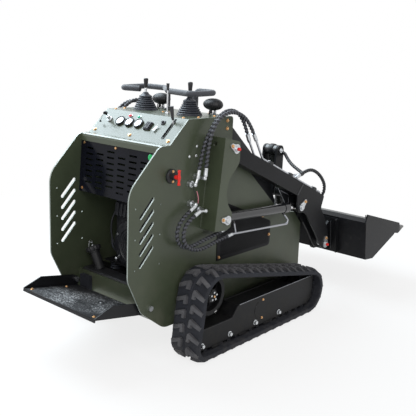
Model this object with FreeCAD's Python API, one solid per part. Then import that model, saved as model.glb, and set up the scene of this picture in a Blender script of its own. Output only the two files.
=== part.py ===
import FreeCAD, Part
import math
import os

# Mini track loader. Millimetres, +X forward to the bucket, +Y the machine's left, +Z up.
# The pieces are laid out from the rear edge of the side plates (x = 0) and the ground (z = 0),
# and moved along X at the end so that the origin is on the ground in the middle of the length.

V = FreeCAD.Vector

# ---------------------------------------------------------------- driving dimensions
BODY_WIDTH = 592.0
SIDE_PLATE = 8.0
SHEET = 4.0
DECK_HEIGHT = 1182.0
DECK_REAR = 376.0
DECK_FRONT = 709.0
NOSE_FRONT = 1418.0
BELLY_HEIGHT = 160.0
BELLY_PLATE = 6.0
SHELF_HEIGHT = 1067.0
SHELF_FRONT = 254.0
SHELF_REAR = 197.0
VENT_SLOT_R = 9.0

TRACK_WIDTH = 184.0
TRACK_GAP = 16.0
CARCASS = 24.0
LUG_HEIGHT = 14.0
LUG_PITCH = 72.0
LUG_BASE = 38.0
SPROCKET_X = 442.0
SPROCKET_Z = 315.0
SPROCKET_TRACK_R = 128.0
ROLLER_X = 348.0
ROLLER_PITCH = 216.0
ROLLER_TRACK_R = 68.0
IDLER_X = 1275.0
IDLER_TRACK_R = 126.0
FRAME_WIDTH = 112.0

TOWER_DEPTH = 96.0
TOWER_PLATE = 8.0
PIVOT_X = 627.0
PIVOT_Z = 1032.0
LIFT_BASE_X = 582.0
LIFT_BASE_Z = 672.0
PIN_R = 15.0
PIN_FIT = 0.05
SIDE_GAP = 8.0

ARM_WIDTH = 64.0
ARM_HEIGHT = 80.0
ARM_ANGLE = 23.65
ARM_PLATE = 10.0
LIFT_EYE_X = 1284.0
LIFT_EYE_Z = 632.0
BUCKET_PIN_X = 1584.0
BUCKET_PIN_Z = 348.0
CROSS_TUBE_X = 1482.0
CROSS_TUBE_Z = 655.0
CROSS_TUBE_R = 36.0
TILT_BASE_X = 1490.0
TILT_BASE_Z = 905.0
TILT_EYE_R = 155.0
TILT_EYE_ANGLE = 73.6

LIFT_LOW = -7.5
LIFT_HIGH = 75.0
TILT_BACK = -4.0
TILT_DUMP = 85.0
PLATFORM_FOLD = 80.0
LIFT_BARREL_R = 27.0
LIFT_BARREL_LENGTH = 602.0
LIFT_ROD_R = 15.0
TILT_BARREL_R = 30.0
TILT_BARREL_LENGTH = 380.0
TILT_ROD_R = 15.0

BUCKET_WIDTH = 1120.0
BUCKET_WALL = 8.0
BUCKET_END = 10.0
ATTACH_WIDTH = 732.0
ATTACH_PLATE = 10.0

PLATFORM_PIVOT_X = 146.0
PLATFORM_PIVOT_Z = 289.0
PLATFORM_REAR = -177.0
PLATFORM_SLOPE = 10.4
PLATFORM_WIDTH = 552.0
PLATFORM_SHEET = 5.0
PLATFORM_FLANGE = 60.0
PLATFORM_LIP = 10.0

# ---------------------------------------------------------------- derived places
HALF = BODY_WIDTH / 2
INNER = HALF - SIDE_PLATE
TOWER_OUT = HALF + TOWER_DEPTH
ARM_OUT = TOWER_OUT - TOWER_PLATE - SIDE_GAP
ARM_IN = ARM_OUT - ARM_WIDTH
ARM_MID = (ARM_OUT + ARM_IN) / 2
TRACK_IN = HALF + TRACK_GAP
TRACK_OUT = TRACK_IN + TRACK_WIDTH
TRACK_MID = (TRACK_IN + TRACK_OUT) / 2
FRAME_IN = TRACK_MID - FRAME_WIDTH / 2
FRAME_OUT = TRACK_MID + FRAME_WIDTH / 2
ROLLER_Z = ROLLER_TRACK_R + LUG_HEIGHT
IDLER_Z = IDLER_TRACK_R + LUG_HEIGHT
TILT_EYE_X = BUCKET_PIN_X + TILT_EYE_R * math.cos(math.radians(TILT_EYE_ANGLE))
TILT_EYE_Z = BUCKET_PIN_Z + TILT_EYE_R * math.sin(math.radians(TILT_EYE_ANGLE))

NODES = {}


# ---------------------------------------------------------------- helpers
def rounded_wire(points):
    """Closed outline in the XZ plane; each point is (x, z) or (x, z, corner radius)."""
    edges = []
    count = len(points)
    ends = []
    for i, p in enumerate(points):
        here = V(p[0], 0, p[1])
        if len(p) == 2 or p[2] <= 0:
            ends.append((here, None, here))
            continue
        before = V(points[i - 1][0], 0, points[i - 1][1])
        after = V(points[(i + 1) % count][0], 0, points[(i + 1) % count][1])
        a = (before - here).normalize()
        b = (after - here).normalize()
        half = a.getAngle(b) / 2
        reach = p[2] / math.tan(half)
        bisector = (a + b).normalize()
        centre = here + bisector * (p[2] / math.sin(half))
        middle = centre - bisector * p[2]
        ends.append((here + a * reach, middle, here + b * reach))
    for i in range(count):
        start, middle, end = ends[i]
        if middle is not None:
            edges.append(Part.Arc(start, middle, end).toShape())
        following = ends[(i + 1) % count][0]
        if (following - end).Length > 1e-6:
            edges.append(Part.LineSegment(end, following).toShape())
    return Part.Wire(edges)


def plate(points, y0, y1):
    """A plate whose outline lies in XZ, from y0 to y1."""
    face = Part.Face(rounded_wire(points))
    face.translate(V(0, y0, 0))
    return face.extrude(V(0, y1 - y0, 0))


def block(x0, x1, y0, y1, z0, z1):
    return Part.makeBox(x1 - x0, y1 - y0, z1 - z0, V(x0, y0, z0))


def bar_y(x, z, y0, y1, r):
    return Part.makeCylinder(r, y1 - y0, V(x, y0, z), V(0, 1, 0))


def bar_between(a, b, r):
    return Part.makeCylinder(r, (b - a).Length, a, b - a)


def mirrored(shape):
    return shape.mirror(V(0, 0, 0), V(0, 1, 0))


def joined(first, *others):
    """One solid of several that overlap or share faces."""
    shape = first
    for other in others:
        shape = shape.fuse(other)
    return shape.removeSplitter()


def offset_line(points, distance):
    """The open line of points moved sideways by distance, to its left, with mitred corners."""
    moved = []
    for i, p in enumerate(points):
        here = V(p[0], 0, p[1])
        sides = []
        if i > 0:
            step = here - V(points[i - 1][0], 0, points[i - 1][1])
            sides.append(V(-step.z, 0, step.x).normalize())
        if i < len(points) - 1:
            step = V(points[i + 1][0], 0, points[i + 1][1]) - here
            sides.append(V(-step.z, 0, step.x).normalize())
        mitre = V(0, 0, 0)
        for side in sides:
            mitre = mitre + side
        mitre.normalize()
        reach = distance / mitre.dot(sides[0])
        moved.append((p[0] + mitre.x * reach, p[1] + mitre.z * reach))
    return moved


def bent_sheet(points, thickness, y0, y1):
    """Sheet metal folded along an open line in XZ, its thickness to the line's left."""
    inner = offset_line(points, thickness)
    return plate([(p[0], p[1]) for p in points] + inner[::-1], y0, y1)


def keep(name, *solids):
    """Names a node; a node of several solids is a compound."""
    NODES[name] = solids[0] if len(solids) == 1 else Part.makeCompound(list(solids))


def keep_pair(name, *right_solids):
    """The same piece on the machine's right and, mirrored, on its left."""
    keep(name + "_right", *right_solids)
    keep(name + "_left", *[mirrored(s) for s in right_solids])


def keep_both(name, *right_solids):
    """Like pieces of both sides in one node."""
    keep(name, *right_solids, *[mirrored(s) for s in right_solids])


def turned(x, z, angle, cx, cz):
    """A point turned by angle degrees in XZ, from +X towards +Z, about (cx, cz)."""
    a = math.radians(angle)
    dx = x - cx
    dz = z - cz
    return cx + dx * math.cos(a) - dz * math.sin(a), cz + dx * math.sin(a) + dz * math.cos(a)


def tube_along(points, r, closed_radius):
    """A round tube along straight runs joined by arcs of one radius."""
    edges = []
    last = points[0]
    for i in range(1, len(points) - 1):
        here = points[i]
        a = (points[i - 1] - here).normalize()
        b = (points[i + 1] - here).normalize()
        half = a.getAngle(b) / 2
        reach = closed_radius / math.tan(half)
        bisector = (a + b).normalize()
        middle = here + bisector * (closed_radius / math.sin(half) - closed_radius)
        start = here + a * reach
        end = here + b * reach
        if (start - last).Length > 1e-6:
            edges.append(Part.LineSegment(last, start).toShape())
        edges.append(Part.Arc(start, middle, end).toShape())
        last = end
    edges.append(Part.LineSegment(last, points[-1]).toShape())
    path = Part.Wire(edges)
    way = (points[1] - points[0]).normalize()
    ring = Part.Wire([Part.makeCircle(r, points[0], way)])
    return path.makePipeShell([ring], True, True)


# ---------------------------------------------------------------- body
HOOD_FOOT_X = 1180.0
HOOD_FOOT_Z = 606.0
HOOD_TOP_Z = 1016.0
NOSE_TOP_X = 1335.0
NOSE_TOP_Z = 580.0
NOSE_EDGE_X = 1410.0
NOSE_EDGE_Z = 498.0
GRILLE_REAR = 622.0
GRILLE_FRONT = 1092.0
GRILLE_LOW = 423.0
GRILLE_LAP = 16.0


def grille_outline(inset):
    return [
        (GRILLE_REAR + inset, GRILLE_LOW + inset),
        (GRILLE_FRONT - inset, GRILLE_LOW + inset, 22),
        (GRILLE_FRONT - inset, 566 - inset, 22),
        (707, 722 - inset),
        (GRILLE_REAR + inset, 750 - inset),
    ]


def side_plate():
    outline = [
        (0, 457, 80), (0, 875, 130), (187, SHELF_HEIGHT - 1, 60), (SHELF_FRONT, SHELF_HEIGHT),
        (DECK_REAR, DECK_HEIGHT), (DECK_FRONT, DECK_HEIGHT, 16), (DECK_FRONT, HOOD_TOP_Z),
        (HOOD_FOOT_X, HOOD_FOOT_Z), (NOSE_TOP_X, NOSE_TOP_Z), (NOSE_EDGE_X, NOSE_EDGE_Z),
        (NOSE_FRONT, BELLY_HEIGHT), (240, BELLY_HEIGHT, 90), (88, 278, 60),
    ]
    shape = plate(outline, -HALF, -INNER)
    cuts = [plate(grille_outline(GRILLE_LAP), -HALF - 1, -INNER + 1)]
    for i in range(5):
        low = V(75, 0, 748.6 - 58.7 * i)
        high = V(150, 0, 827.0 - 58.7 * i)
        cuts.append(slot_cut(low, high, VENT_SLOT_R))
    for x in (42, 200):
        for z in (795, 649, 502):
            cuts.append(bar_y(x, z, -HALF - 1, -INNER + 1, 4))
    cuts.append(bar_y(PLATFORM_PIVOT_X, PLATFORM_PIVOT_Z, -HALF - 1, -INNER + 1, 8 + PIN_FIT))
    return shape.cut(Part.makeCompound(cuts))


def slot_cut(low, high, half_width):
    """A round-ended slot through the right side plate between two points."""
    along = (high - low).normalize()
    side = V(-along.z, 0, along.x) * half_width
    corners = [low + side, high + side, high - side, low - side]
    body = plate([(p.x, p.z) for p in corners], -HALF - 1, -INNER + 1)
    ends = [bar_y(p.x, p.z, -HALF - 1, -INNER + 1, half_width) for p in (low, high)]
    return body.fuse(ends)


keep_pair("side_plate", side_plate())
keep_pair("side_grille", plate(grille_outline(0), -HALF - 3, -HALF))

CROSS_PLATE_X = 179.0
CROSS_PLATE_TOP = 340.0
CROSS_PLATE_FOOT = 228.0
BELLY_REAR = 262.0
keep("belly_pan", plate(
    [(CROSS_PLATE_X, CROSS_PLATE_TOP), (CROSS_PLATE_X + SIDE_PLATE, CROSS_PLATE_TOP),
     (CROSS_PLATE_X + SIDE_PLATE, CROSS_PLATE_FOOT + 3), (BELLY_REAR + 4, BELLY_HEIGHT + BELLY_PLATE),
     (NOSE_FRONT - 10, BELLY_HEIGHT + BELLY_PLATE), (NOSE_FRONT - 10, BELLY_HEIGHT),
     (BELLY_REAR, BELLY_HEIGHT), (CROSS_PLATE_X, CROSS_PLATE_FOOT)], -INNER, INNER))

# The nose is one green sheet, folded twice, between the side plates.
keep("nose_cover", bent_sheet(
    [(NOSE_FRONT, BELLY_HEIGHT + 40), (NOSE_EDGE_X, NOSE_EDGE_Z), (NOSE_TOP_X, NOSE_TOP_Z),
     (HOOD_FOOT_X, HOOD_FOOT_Z)], SHEET, -INNER, INNER))

# The hood is a folded cover that stands proud of the side plates, on flanges along their edges.
HOOD_RISE = 112.0
HOOD_HALF = 250.0
hood_slope = math.atan2(HOOD_TOP_Z - HOOD_FOOT_Z, HOOD_FOOT_X - DECK_FRONT)


def hood():
    rise = HOOD_RISE / math.cos(hood_slope)
    outline = [
        (DECK_FRONT + 2, HOOD_TOP_Z - 40), (DECK_FRONT + 2, HOOD_TOP_Z + rise - 6),
        (DECK_FRONT + 26, HOOD_TOP_Z + rise - 22, 30),
        (HOOD_FOOT_X - 70, HOOD_FOOT_Z + rise + 61, 30), (HOOD_FOOT_X + 6, HOOD_FOOT_Z + 60),
        (HOOD_FOOT_X + 6, HOOD_FOOT_Z + 4), (HOOD_FOOT_X - 6, HOOD_FOOT_Z - 10),
    ]
    outer = plate(outline, -HOOD_HALF, HOOD_HALF)
    inside = plate([(p[0], p[1] - 1.5 * SHEET) for p in outline], -HOOD_HALF + SHEET, HOOD_HALF - SHEET)
    below = plate([(DECK_FRONT - 30, HOOD_TOP_Z - 10), (HOOD_FOOT_X + 20, HOOD_FOOT_Z - 12),
                   (HOOD_FOOT_X - 60, HOOD_FOOT_Z - 160), (DECK_FRONT - 30, HOOD_TOP_Z - 160)],
                  -HOOD_HALF - 1, HOOD_HALF + 1)
    shell = outer.cut(inside).cut(below)
    flange_line = [(HOOD_FOOT_X - 8, HOOD_FOOT_Z + 2), (DECK_FRONT + 6, HOOD_TOP_Z - 14)]
    flanges = [bent_sheet(flange_line, SHEET, y0, y1)
               for y0, y1 in ((-INNER, -HOOD_HALF + SHEET), (HOOD_HALF - SHEET, INNER))]
    return joined(shell, *flanges)


keep("engine_hood", hood())

keep("control_deck", bent_sheet(
    [(DECK_FRONT - 8, HOOD_TOP_Z + 4), (DECK_FRONT - 8, DECK_HEIGHT), (DECK_REAR + 4, DECK_HEIGHT)],
    SHEET, -INNER, INNER))

# The sloping control panel runs down to a shelf whose rear edge is rolled over the guard.
panel_slope = math.atan2(DECK_HEIGHT - SHELF_HEIGHT, DECK_REAR - SHELF_FRONT)
PANEL_SLOT_Y = -219.0
PANEL_SLOT = 14.0
GUARD_LEAN = 0.0712


def on_panel(s, lift=0.0):
    """The point a distance s up the panel from its lower corner, lifted off its face."""
    return (SHELF_FRONT + s * math.cos(panel_slope) - lift * math.sin(panel_slope),
            SHELF_HEIGHT + s * math.sin(panel_slope) + lift * math.cos(panel_slope))


def control_panel():
    line = [(DECK_REAR, DECK_HEIGHT), (SHELF_FRONT, SHELF_HEIGHT), (SHELF_REAR + 14, SHELF_HEIGHT),
            (SHELF_REAR + 4, SHELF_HEIGHT - 4), (SHELF_REAR, SHELF_HEIGHT - 14),
            (SHELF_REAR - 24 * GUARD_LEAN, SHELF_HEIGHT - 38)]
    shape = bent_sheet(line, SHEET, -INNER, INNER)
    low = on_panel(38, 4)
    high = on_panel(158, 4)
    base = [low, high, on_panel(158, -14), on_panel(38, -14)]
    return shape.cut(plate(base, PANEL_SLOT_Y - PANEL_SLOT / 2, PANEL_SLOT_Y + PANEL_SLOT / 2))


keep("control_panel", control_panel())

# The perforated rear guard hangs below the rolled shelf.
GUARD_BOTTOM = 767.0
GUARD_TOP = (SHELF_REAR + SHEET + 0.3, SHELF_HEIGHT - 14)
GUARD_LOW = (GUARD_TOP[0] - (GUARD_TOP[1] - GUARD_BOTTOM) * GUARD_LEAN, GUARD_BOTTOM)
GUARD_SHEET = 3.0
GUARD_COLUMNS = 7
GUARD_ROWS = 7
GUARD_COLUMN_PITCH = 81.0
GUARD_ROW_PITCH = 29.0
GUARD_STAGGER = 8.0
GUARD_SLOT = 54.0
GUARD_SLOT_HEIGHT = 9.0
GUARD_FIRST_Y = 218.0
GUARD_FIRST_Z = 966.0


def rear_guard():
    sheet = bent_sheet([GUARD_TOP, GUARD_LOW], GUARD_SHEET, -INNER, INNER)
    cuts = []
    for column in range(GUARD_COLUMNS):
        y = GUARD_FIRST_Y - GUARD_COLUMN_PITCH * column
        stagger = GUARD_STAGGER * (column % 2)
        extra = (column + 1) % 2
        for row in range(-extra, GUARD_ROWS - extra):
            z = GUARD_FIRST_Z - GUARD_ROW_PITCH * row + stagger
            if z > SHELF_HEIGHT - 42 - GUARD_SLOT_HEIGHT:
                continue
            cuts.append(block(150, 250, y - GUARD_SLOT / 2, y + GUARD_SLOT / 2,
                              z - GUARD_SLOT_HEIGHT / 2, z + GUARD_SLOT_HEIGHT / 2))
    return sheet.cut(Part.makeCompound(cuts))


keep("rear_guard", rear_guard())

# ---------------------------------------------------------------- engine bay
CRADLE_TOP = 346.0
ENGINE_PLATE_TOP = 396.0
ENGINE_REAR = 300.0
CRADLE_REAR = 296.0


def engine_cradle():
    rails = [block(CRADLE_REAR, 780, y0, y1, 290, CRADLE_TOP) for y0, y1 in ((-200, -130), (130, 200))]
    beams = [block(x0, x0 + 46, -INNER, INNER, 290, CRADLE_TOP) for x0 in (CRADLE_REAR, 690)]
    mounts = [Part.makeCylinder(26, ENGINE_PLATE_TOP - 8 - CRADLE_TOP, V(x, y, CRADLE_TOP))
              for x in (322, 710) for y in (-150, 150)]
    top = block(ENGINE_REAR - 24, 760, -190, 190, ENGINE_PLATE_TOP - 8, ENGINE_PLATE_TOP)
    return joined(rails[0], rails[1], *beams, *mounts, top)


keep("engine_cradle", engine_cradle())


def engine():
    crankcase = block(ENGINE_REAR + 40, 720, -170, 170, ENGINE_PLATE_TOP, 650)
    fan_housing = Part.makeCylinder(136, 46, V(ENGINE_REAR, 0, 500), V(1, 0, 0))
    fan_neck = block(ENGINE_REAR + 6, ENGINE_REAR + 46, -110, 110, ENGINE_PLATE_TOP, 500)
    cleaner = plate([(ENGINE_REAR - 6, 640, 10), (ENGINE_REAR + 8, 722, 22), (520, 722, 22),
                     (520, 640)], -140, 140)
    below = block(0, 900, -200, 200, 200, ENGINE_PLATE_TOP)
    return joined(crankcase, fan_housing, fan_neck, cleaner).cut(below)


keep("engine", engine())

TANK_TOP = 348.0
keep("fuel_tank", plate([(190, CROSS_PLATE_FOOT + 3), (190, TANK_TOP, 16), (284, TANK_TOP, 16),
                         (284, BELLY_HEIGHT + BELLY_PLATE), (BELLY_REAR + 6, BELLY_HEIGHT + BELLY_PLATE)],
                        -270, 270))
FILLER_NECK_R = 26.0
FILLER_CAP_R = 38.0
filler_foot = V(246, 192, TANK_TOP - 4)
filler_top = V(238, 234, 440)
filler_way = (filler_top - filler_foot).normalize()
keep("fuel_filler", joined(
    bar_between(filler_foot, filler_top, FILLER_NECK_R),
    bar_between(filler_top, filler_top + filler_way * 22, FILLER_CAP_R)).cut(
        block(150, 320, 100, 300, TANK_TOP - 60, TANK_TOP)))

# ---------------------------------------------------------------- tracks
circles = [
    (SPROCKET_X, SPROCKET_Z, SPROCKET_TRACK_R),
    (ROLLER_X, ROLLER_Z, ROLLER_TRACK_R),
    (IDLER_X, IDLER_Z, IDLER_TRACK_R),
]


def belt_path(shrink):
    """The belt's line round the three wheels: straight runs and arcs, as (length, point function)."""
    pieces = []
    count = len(circles)
    turns = []
    for i in range(count):
        x0, z0, r0 = circles[i]
        x1, z1, r1 = circles[(i + 1) % count]
        heading = math.atan2(z1 - z0, x1 - x0)
        gap = math.hypot(x1 - x0, z1 - z0)
        lean = math.asin((r0 - r1) / gap)
        turns.append(heading - math.pi / 2 + lean)
    for i in range(count):
        x0, z0, r0 = circles[i]
        x1, z1, r1 = circles[(i + 1) % count]
        normal = turns[i]
        start = (x0 + (r0 - shrink) * math.cos(normal), z0 + (r0 - shrink) * math.sin(normal))
        end = (x1 + (r1 - shrink) * math.cos(normal), z1 + (r1 - shrink) * math.sin(normal))
        pieces.append(("run", start, end, normal))
        sweep = (turns[(i + 1) % count] - normal) % (2 * math.pi)
        pieces.append(("arc", (x1, z1), r1 - shrink, normal, sweep))
    return pieces


def path_length(pieces):
    total = 0
    for piece in pieces:
        if piece[0] == "run":
            total += math.hypot(piece[2][0] - piece[1][0], piece[2][1] - piece[1][1])
        else:
            total += piece[2] * piece[4]
    return total


def path_point(pieces, s, lift=0.0):
    """The point at length s along the belt, lifted outwards."""
    s = s % path_length(pieces)
    for piece in pieces:
        if piece[0] == "run":
            length = math.hypot(piece[2][0] - piece[1][0], piece[2][1] - piece[1][1])
            if s <= length:
                t = s / length
                x = piece[1][0] + t * (piece[2][0] - piece[1][0]) + lift * math.cos(piece[3])
                z = piece[1][1] + t * (piece[2][1] - piece[1][1]) + lift * math.sin(piece[3])
                return V(x, 0, z)
        else:
            length = piece[2] * piece[4]
            if s <= length:
                angle = piece[3] + s / piece[2]
                reach = piece[2] + lift
                return V(piece[1][0] + reach * math.cos(angle), 0, piece[1][1] + reach * math.sin(angle))
        s -= length
    return path_point(pieces, 0.0, lift)


def closed_path_wire(pieces):
    edges = []
    for piece in pieces:
        if piece[0] == "run":
            edges.append(Part.LineSegment(V(piece[1][0], 0, piece[1][1]),
                                          V(piece[2][0], 0, piece[2][1])).toShape())
        else:
            (cx, cz), r, a, sweep = piece[1:]
            three = [V(cx + r * math.cos(t), 0, cz + r * math.sin(t))
                     for t in (a, a + sweep / 2, a + sweep)]
            edges.append(Part.Arc(*three).toShape())
    return Part.Wire(edges)


def lugged_wire(pieces):
    """The outer line of the belt with its lugs, evenly spaced at about LUG_PITCH."""
    total = path_length(pieces)
    count = round(total / LUG_PITCH)
    pitch = total / count
    flank = 5.0
    edges = []
    for i in range(count):
        a = i * pitch
        b = a + LUG_BASE
        foot0 = path_point(pieces, a)
        top0 = path_point(pieces, a + flank, LUG_HEIGHT)
        top1 = path_point(pieces, b - flank, LUG_HEIGHT)
        foot1 = path_point(pieces, b)
        middle = path_point(pieces, (b + a + pitch) / 2)
        following = path_point(pieces, a + pitch)
        for p, q in ((foot0, top0), (top0, top1), (top1, foot1)):
            edges.append(Part.LineSegment(p, q).toShape())
        bow = middle - (foot1 + following) * 0.5
        if bow.Length < 0.02:
            edges.append(Part.LineSegment(foot1, following).toShape())
        else:
            edges.append(Part.Arc(foot1, middle, following).toShape())
    return Part.Wire(edges)


def track():
    outer = Part.Face(lugged_wire(belt_path(0)))
    inner = Part.Face(closed_path_wire(belt_path(CARCASS)))
    for face in (outer, inner):
        face.translate(V(0, -TRACK_OUT, 0))
    return outer.extrude(V(0, TRACK_WIDTH, 0)).cut(inner.extrude(V(0, TRACK_WIDTH, 0)))


keep_pair("track", track())

FRAME_TOP = 220.0
FRAME_LOW_TOP = 164.0
FRAME_BOTTOM = 58.0
FRAME_REAR = 340.0
FRAME_FRONT = 1335.0
FRAME_STEP_X = 577.0
WEB = 8.0
RUN_GAP = 0.3


def track_frame():
    outline = [(FRAME_REAR, FRAME_BOTTOM), (FRAME_REAR, FRAME_LOW_TOP),
               (FRAME_STEP_X, FRAME_LOW_TOP), (FRAME_STEP_X + 51, FRAME_TOP),
               (FRAME_FRONT, FRAME_TOP), (FRAME_FRONT, FRAME_BOTTOM + 28),
               (FRAME_FRONT - 48, FRAME_BOTTOM)]
    sides = [plate(outline, y, y + WEB) for y in (-FRAME_OUT, -FRAME_IN - WEB)]
    top = bent_sheet([(1120, FRAME_TOP), (FRAME_STEP_X + 51, FRAME_TOP), (FRAME_STEP_X, FRAME_LOW_TOP),
                      (FRAME_REAR, FRAME_LOW_TOP)], WEB, -FRAME_OUT, -FRAME_IN)
    beams = [block(x0, x0 + 70, -FRAME_IN - 1, -HALF, 96, 152) for x0 in (470, 1040)]
    return joined(sides[0], sides[1], top, *beams)


def wheel_between(x, z, r, width, hub_r):
    """A wheel on its axle, between the two plates of the track frame."""
    half = width / 2
    rim = bar_y(x, z, -TRACK_MID - half, -TRACK_MID + half, r)
    axle = bar_y(x, z, -FRAME_OUT + WEB + RUN_GAP, -FRAME_IN - WEB - RUN_GAP, hub_r)
    return joined(rim, axle)


keep_pair("track_frame", track_frame())
roller_r = ROLLER_TRACK_R - CARCASS - RUN_GAP
keep_pair("track_wheels",
          wheel_between(IDLER_X, IDLER_Z, IDLER_TRACK_R - CARCASS - RUN_GAP, 56, 20),
          *[wheel_between(ROLLER_X + ROLLER_PITCH * i, ROLLER_Z, roller_r, 60, 14) for i in range(4)])


def drive_sprocket():
    """Hydraulic motor hub, holed disc and toothed ring."""
    r = SPROCKET_TRACK_R - CARCASS - RUN_GAP
    ring = bar_y(SPROCKET_X, SPROCKET_Z, -TRACK_MID - 22, -TRACK_MID + 22, r)
    hollow = bar_y(SPROCKET_X, SPROCKET_Z, -TRACK_MID - 23, -TRACK_MID + 4, r - 22)
    disc = ring.cut(hollow)
    holes = []
    for i in range(6):
        a = math.radians(60 * i + 30)
        holes.append(bar_y(SPROCKET_X + 56 * math.cos(a), SPROCKET_Z + 56 * math.sin(a),
                           -TRACK_MID - 30, -TRACK_MID + 30, 15))
    disc = disc.cut(Part.makeCompound(holes))
    hub = bar_y(SPROCKET_X, SPROCKET_Z, -TRACK_MID - 30, -TRACK_MID + 22, 34)
    motor = bar_y(SPROCKET_X, SPROCKET_Z, -TRACK_MID + 21, -HALF, 62)
    return joined(disc, hub, motor)


keep_pair("drive_sprocket", drive_sprocket())

# ---------------------------------------------------------------- towers and pivot pins
TOWER_TOP = 1092.0
TOWER_LOW = 627.0
TOWER_REAR_TOP = 540.0
TOWER_REAR_LOW = 487.0


def tower():
    side = plate([
        (TOWER_REAR_TOP, TOWER_TOP), (658, 1066, 18), (661, 960, 60), (583, 880, 70),
        (564, 814, 60), (584, 750, 50), (616, 708, 24), (613, 633, 16), (577, 619, 10),
        (TOWER_REAR_LOW, TOWER_LOW)], -TOWER_OUT, -TOWER_OUT + TOWER_PLATE)
    back = bent_sheet([(TOWER_REAR_LOW, TOWER_LOW), (TOWER_REAR_TOP, TOWER_TOP)], -TOWER_PLATE,
                      -TOWER_OUT, -HALF)
    holes = [bar_y(x, z, -TOWER_OUT - 1, -TOWER_OUT + TOWER_PLATE + 1, PIN_R + PIN_FIT)
             for x, z in ((PIVOT_X, PIVOT_Z), (LIFT_BASE_X, LIFT_BASE_Z))]
    lifting_eye = Part.makeCylinder(13, 40, V(TOWER_REAR_TOP - 30, -TOWER_OUT + 62, TOWER_TOP - 34),
                                    V(1, 0, 0))
    return joined(side, back).cut(Part.makeCompound(holes + [lifting_eye]))


def locked_pin(x, z, bolt_x, bolt_z, outer, inner):
    """A pin with a flag plate bolted to the outer face it stands on."""
    shaft = bar_y(x, z, -outer - 12, -inner, PIN_R)
    flag = plate_flag(x, z, bolt_x, bolt_z, -outer - 6, -outer)
    return joined(shaft, flag)


def plate_flag(x, z, bolt_x, bolt_z, y0, y1):
    """A teardrop plate from the pin's big end to the bolt's small end."""
    big = bar_y(x, z, y0, y1, 24)
    small = bar_y(bolt_x, bolt_z, y0, y1, 13)
    length = math.hypot(bolt_x - x, bolt_z - z)
    ux = (bolt_x - x) / length
    uz = (bolt_z - z) / length
    waist = plate([(x - uz * 22, z + ux * 22), (bolt_x - uz * 12, bolt_z + ux * 12),
                   (bolt_x + uz * 12, bolt_z - ux * 12), (x + uz * 22, z - ux * 22)], y0, y1)
    return joined(big, small, waist)


keep_pair("lift_tower", tower())
keep_both("pivot_pins",
          locked_pin(PIVOT_X, PIVOT_Z, 592, 1049, TOWER_OUT, HALF + RUN_GAP),
          locked_pin(LIFT_BASE_X, LIFT_BASE_Z, 545, 679, TOWER_OUT, HALF + RUN_GAP))

# ---------------------------------------------------------------- loader arms
arm_dx = math.cos(math.radians(ARM_ANGLE))
arm_dz = -math.sin(math.radians(ARM_ANGLE))
ARM_TOP_OFFSET = 26.0
ARM_LENGTH = 700.0
FRONT_PLATE_END = 975.0


def along_arm(s, off):
    """A point a distance s along the arm from its pivot and off above the pivot line."""
    return (PIVOT_X + s * arm_dx - off * arm_dz, PIVOT_Z + s * arm_dz + off * arm_dx)


def loader_arm():
    low = ARM_TOP_OFFSET - ARM_HEIGHT
    tube = plate([along_arm(0, ARM_TOP_OFFSET), along_arm(ARM_LENGTH + 20, ARM_TOP_OFFSET),
                  along_arm(ARM_LENGTH, low), along_arm(30, low)], -ARM_OUT, -ARM_IN)
    boss = bar_y(PIVOT_X, PIVOT_Z, -ARM_OUT, -ARM_IN, 36)
    front = [
        along_arm(ARM_LENGTH + 10, ARM_TOP_OFFSET), along_arm(FRONT_PLATE_END, ARM_TOP_OFFSET) + (14,),
        (1502, 590, 30), (1560, 520, 80), (1634, 352, 44), (1588, 300, 44), (1538, 340, 44),
        (1462, 440, 80), (1330, 590, 60), (1300, 596, 30), (1250, 598, 34),
        along_arm(ARM_LENGTH - 16, low),
    ]
    cheeks = [plate(front, y, y + ARM_PLATE) for y in (-ARM_OUT, -ARM_IN - ARM_PLATE)]
    cap = bent_sheet([along_arm(ARM_LENGTH + 10, ARM_TOP_OFFSET),
                      along_arm(FRONT_PLATE_END - 14, ARM_TOP_OFFSET)], -ARM_PLATE, -ARM_OUT, -ARM_IN)
    nose = bent_sheet([along_arm(FRONT_PLATE_END, ARM_TOP_OFFSET - 14), (1504, 596)], -ARM_PLATE,
                      -ARM_OUT, -ARM_IN)
    leg = plate([(1560, 520, 80), (1634, 352, 44), (1588, 300, 44), (1538, 340, 44), (1462, 440, 60),
                 (1430, 478), (1500, 560)], -ARM_OUT, -ARM_IN)
    arm = joined(tube, boss, cheeks[0], cheeks[1], cap, nose, leg)
    bores = [bar_y(PIVOT_X, PIVOT_Z, -ARM_OUT - 1, -ARM_IN + 1, PIN_R + PIN_FIT),
             bar_y(BUCKET_PIN_X, BUCKET_PIN_Z, -ARM_OUT - 1, -ARM_IN + 1, PIN_R + PIN_FIT)]
    return arm.cut(Part.makeCompound(bores))


keep_pair("loader_arm", loader_arm())

EAR_OUT = 56.0
EAR_PLATE = 14.0


def arm_crossmember():
    tube = bar_y(CROSS_TUBE_X, CROSS_TUBE_Z, -ARM_IN, ARM_IN, CROSS_TUBE_R)
    outline = [(CROSS_TUBE_X + 46, CROSS_TUBE_Z), (CROSS_TUBE_X + 46, TILT_BASE_Z),
               (CROSS_TUBE_X + 40, TILT_BASE_Z + 32, 30), (CROSS_TUBE_X - 24, TILT_BASE_Z + 32, 30),
               (CROSS_TUBE_X - 46, CROSS_TUBE_Z)]
    ears = [plate(outline, y, y + EAR_PLATE) for y in (-EAR_OUT, EAR_OUT - EAR_PLATE)]
    tie = block(CROSS_TUBE_X - 41, CROSS_TUBE_X - 31, -EAR_OUT + 2, EAR_OUT - 2,
                CROSS_TUBE_Z + 10, CROSS_TUBE_Z + 110)
    bore = bar_y(TILT_BASE_X, TILT_BASE_Z, -EAR_OUT - 1, EAR_OUT + 1, PIN_R + PIN_FIT)
    return joined(tube, ears[0], ears[1], tie).cut(bore)


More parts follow.
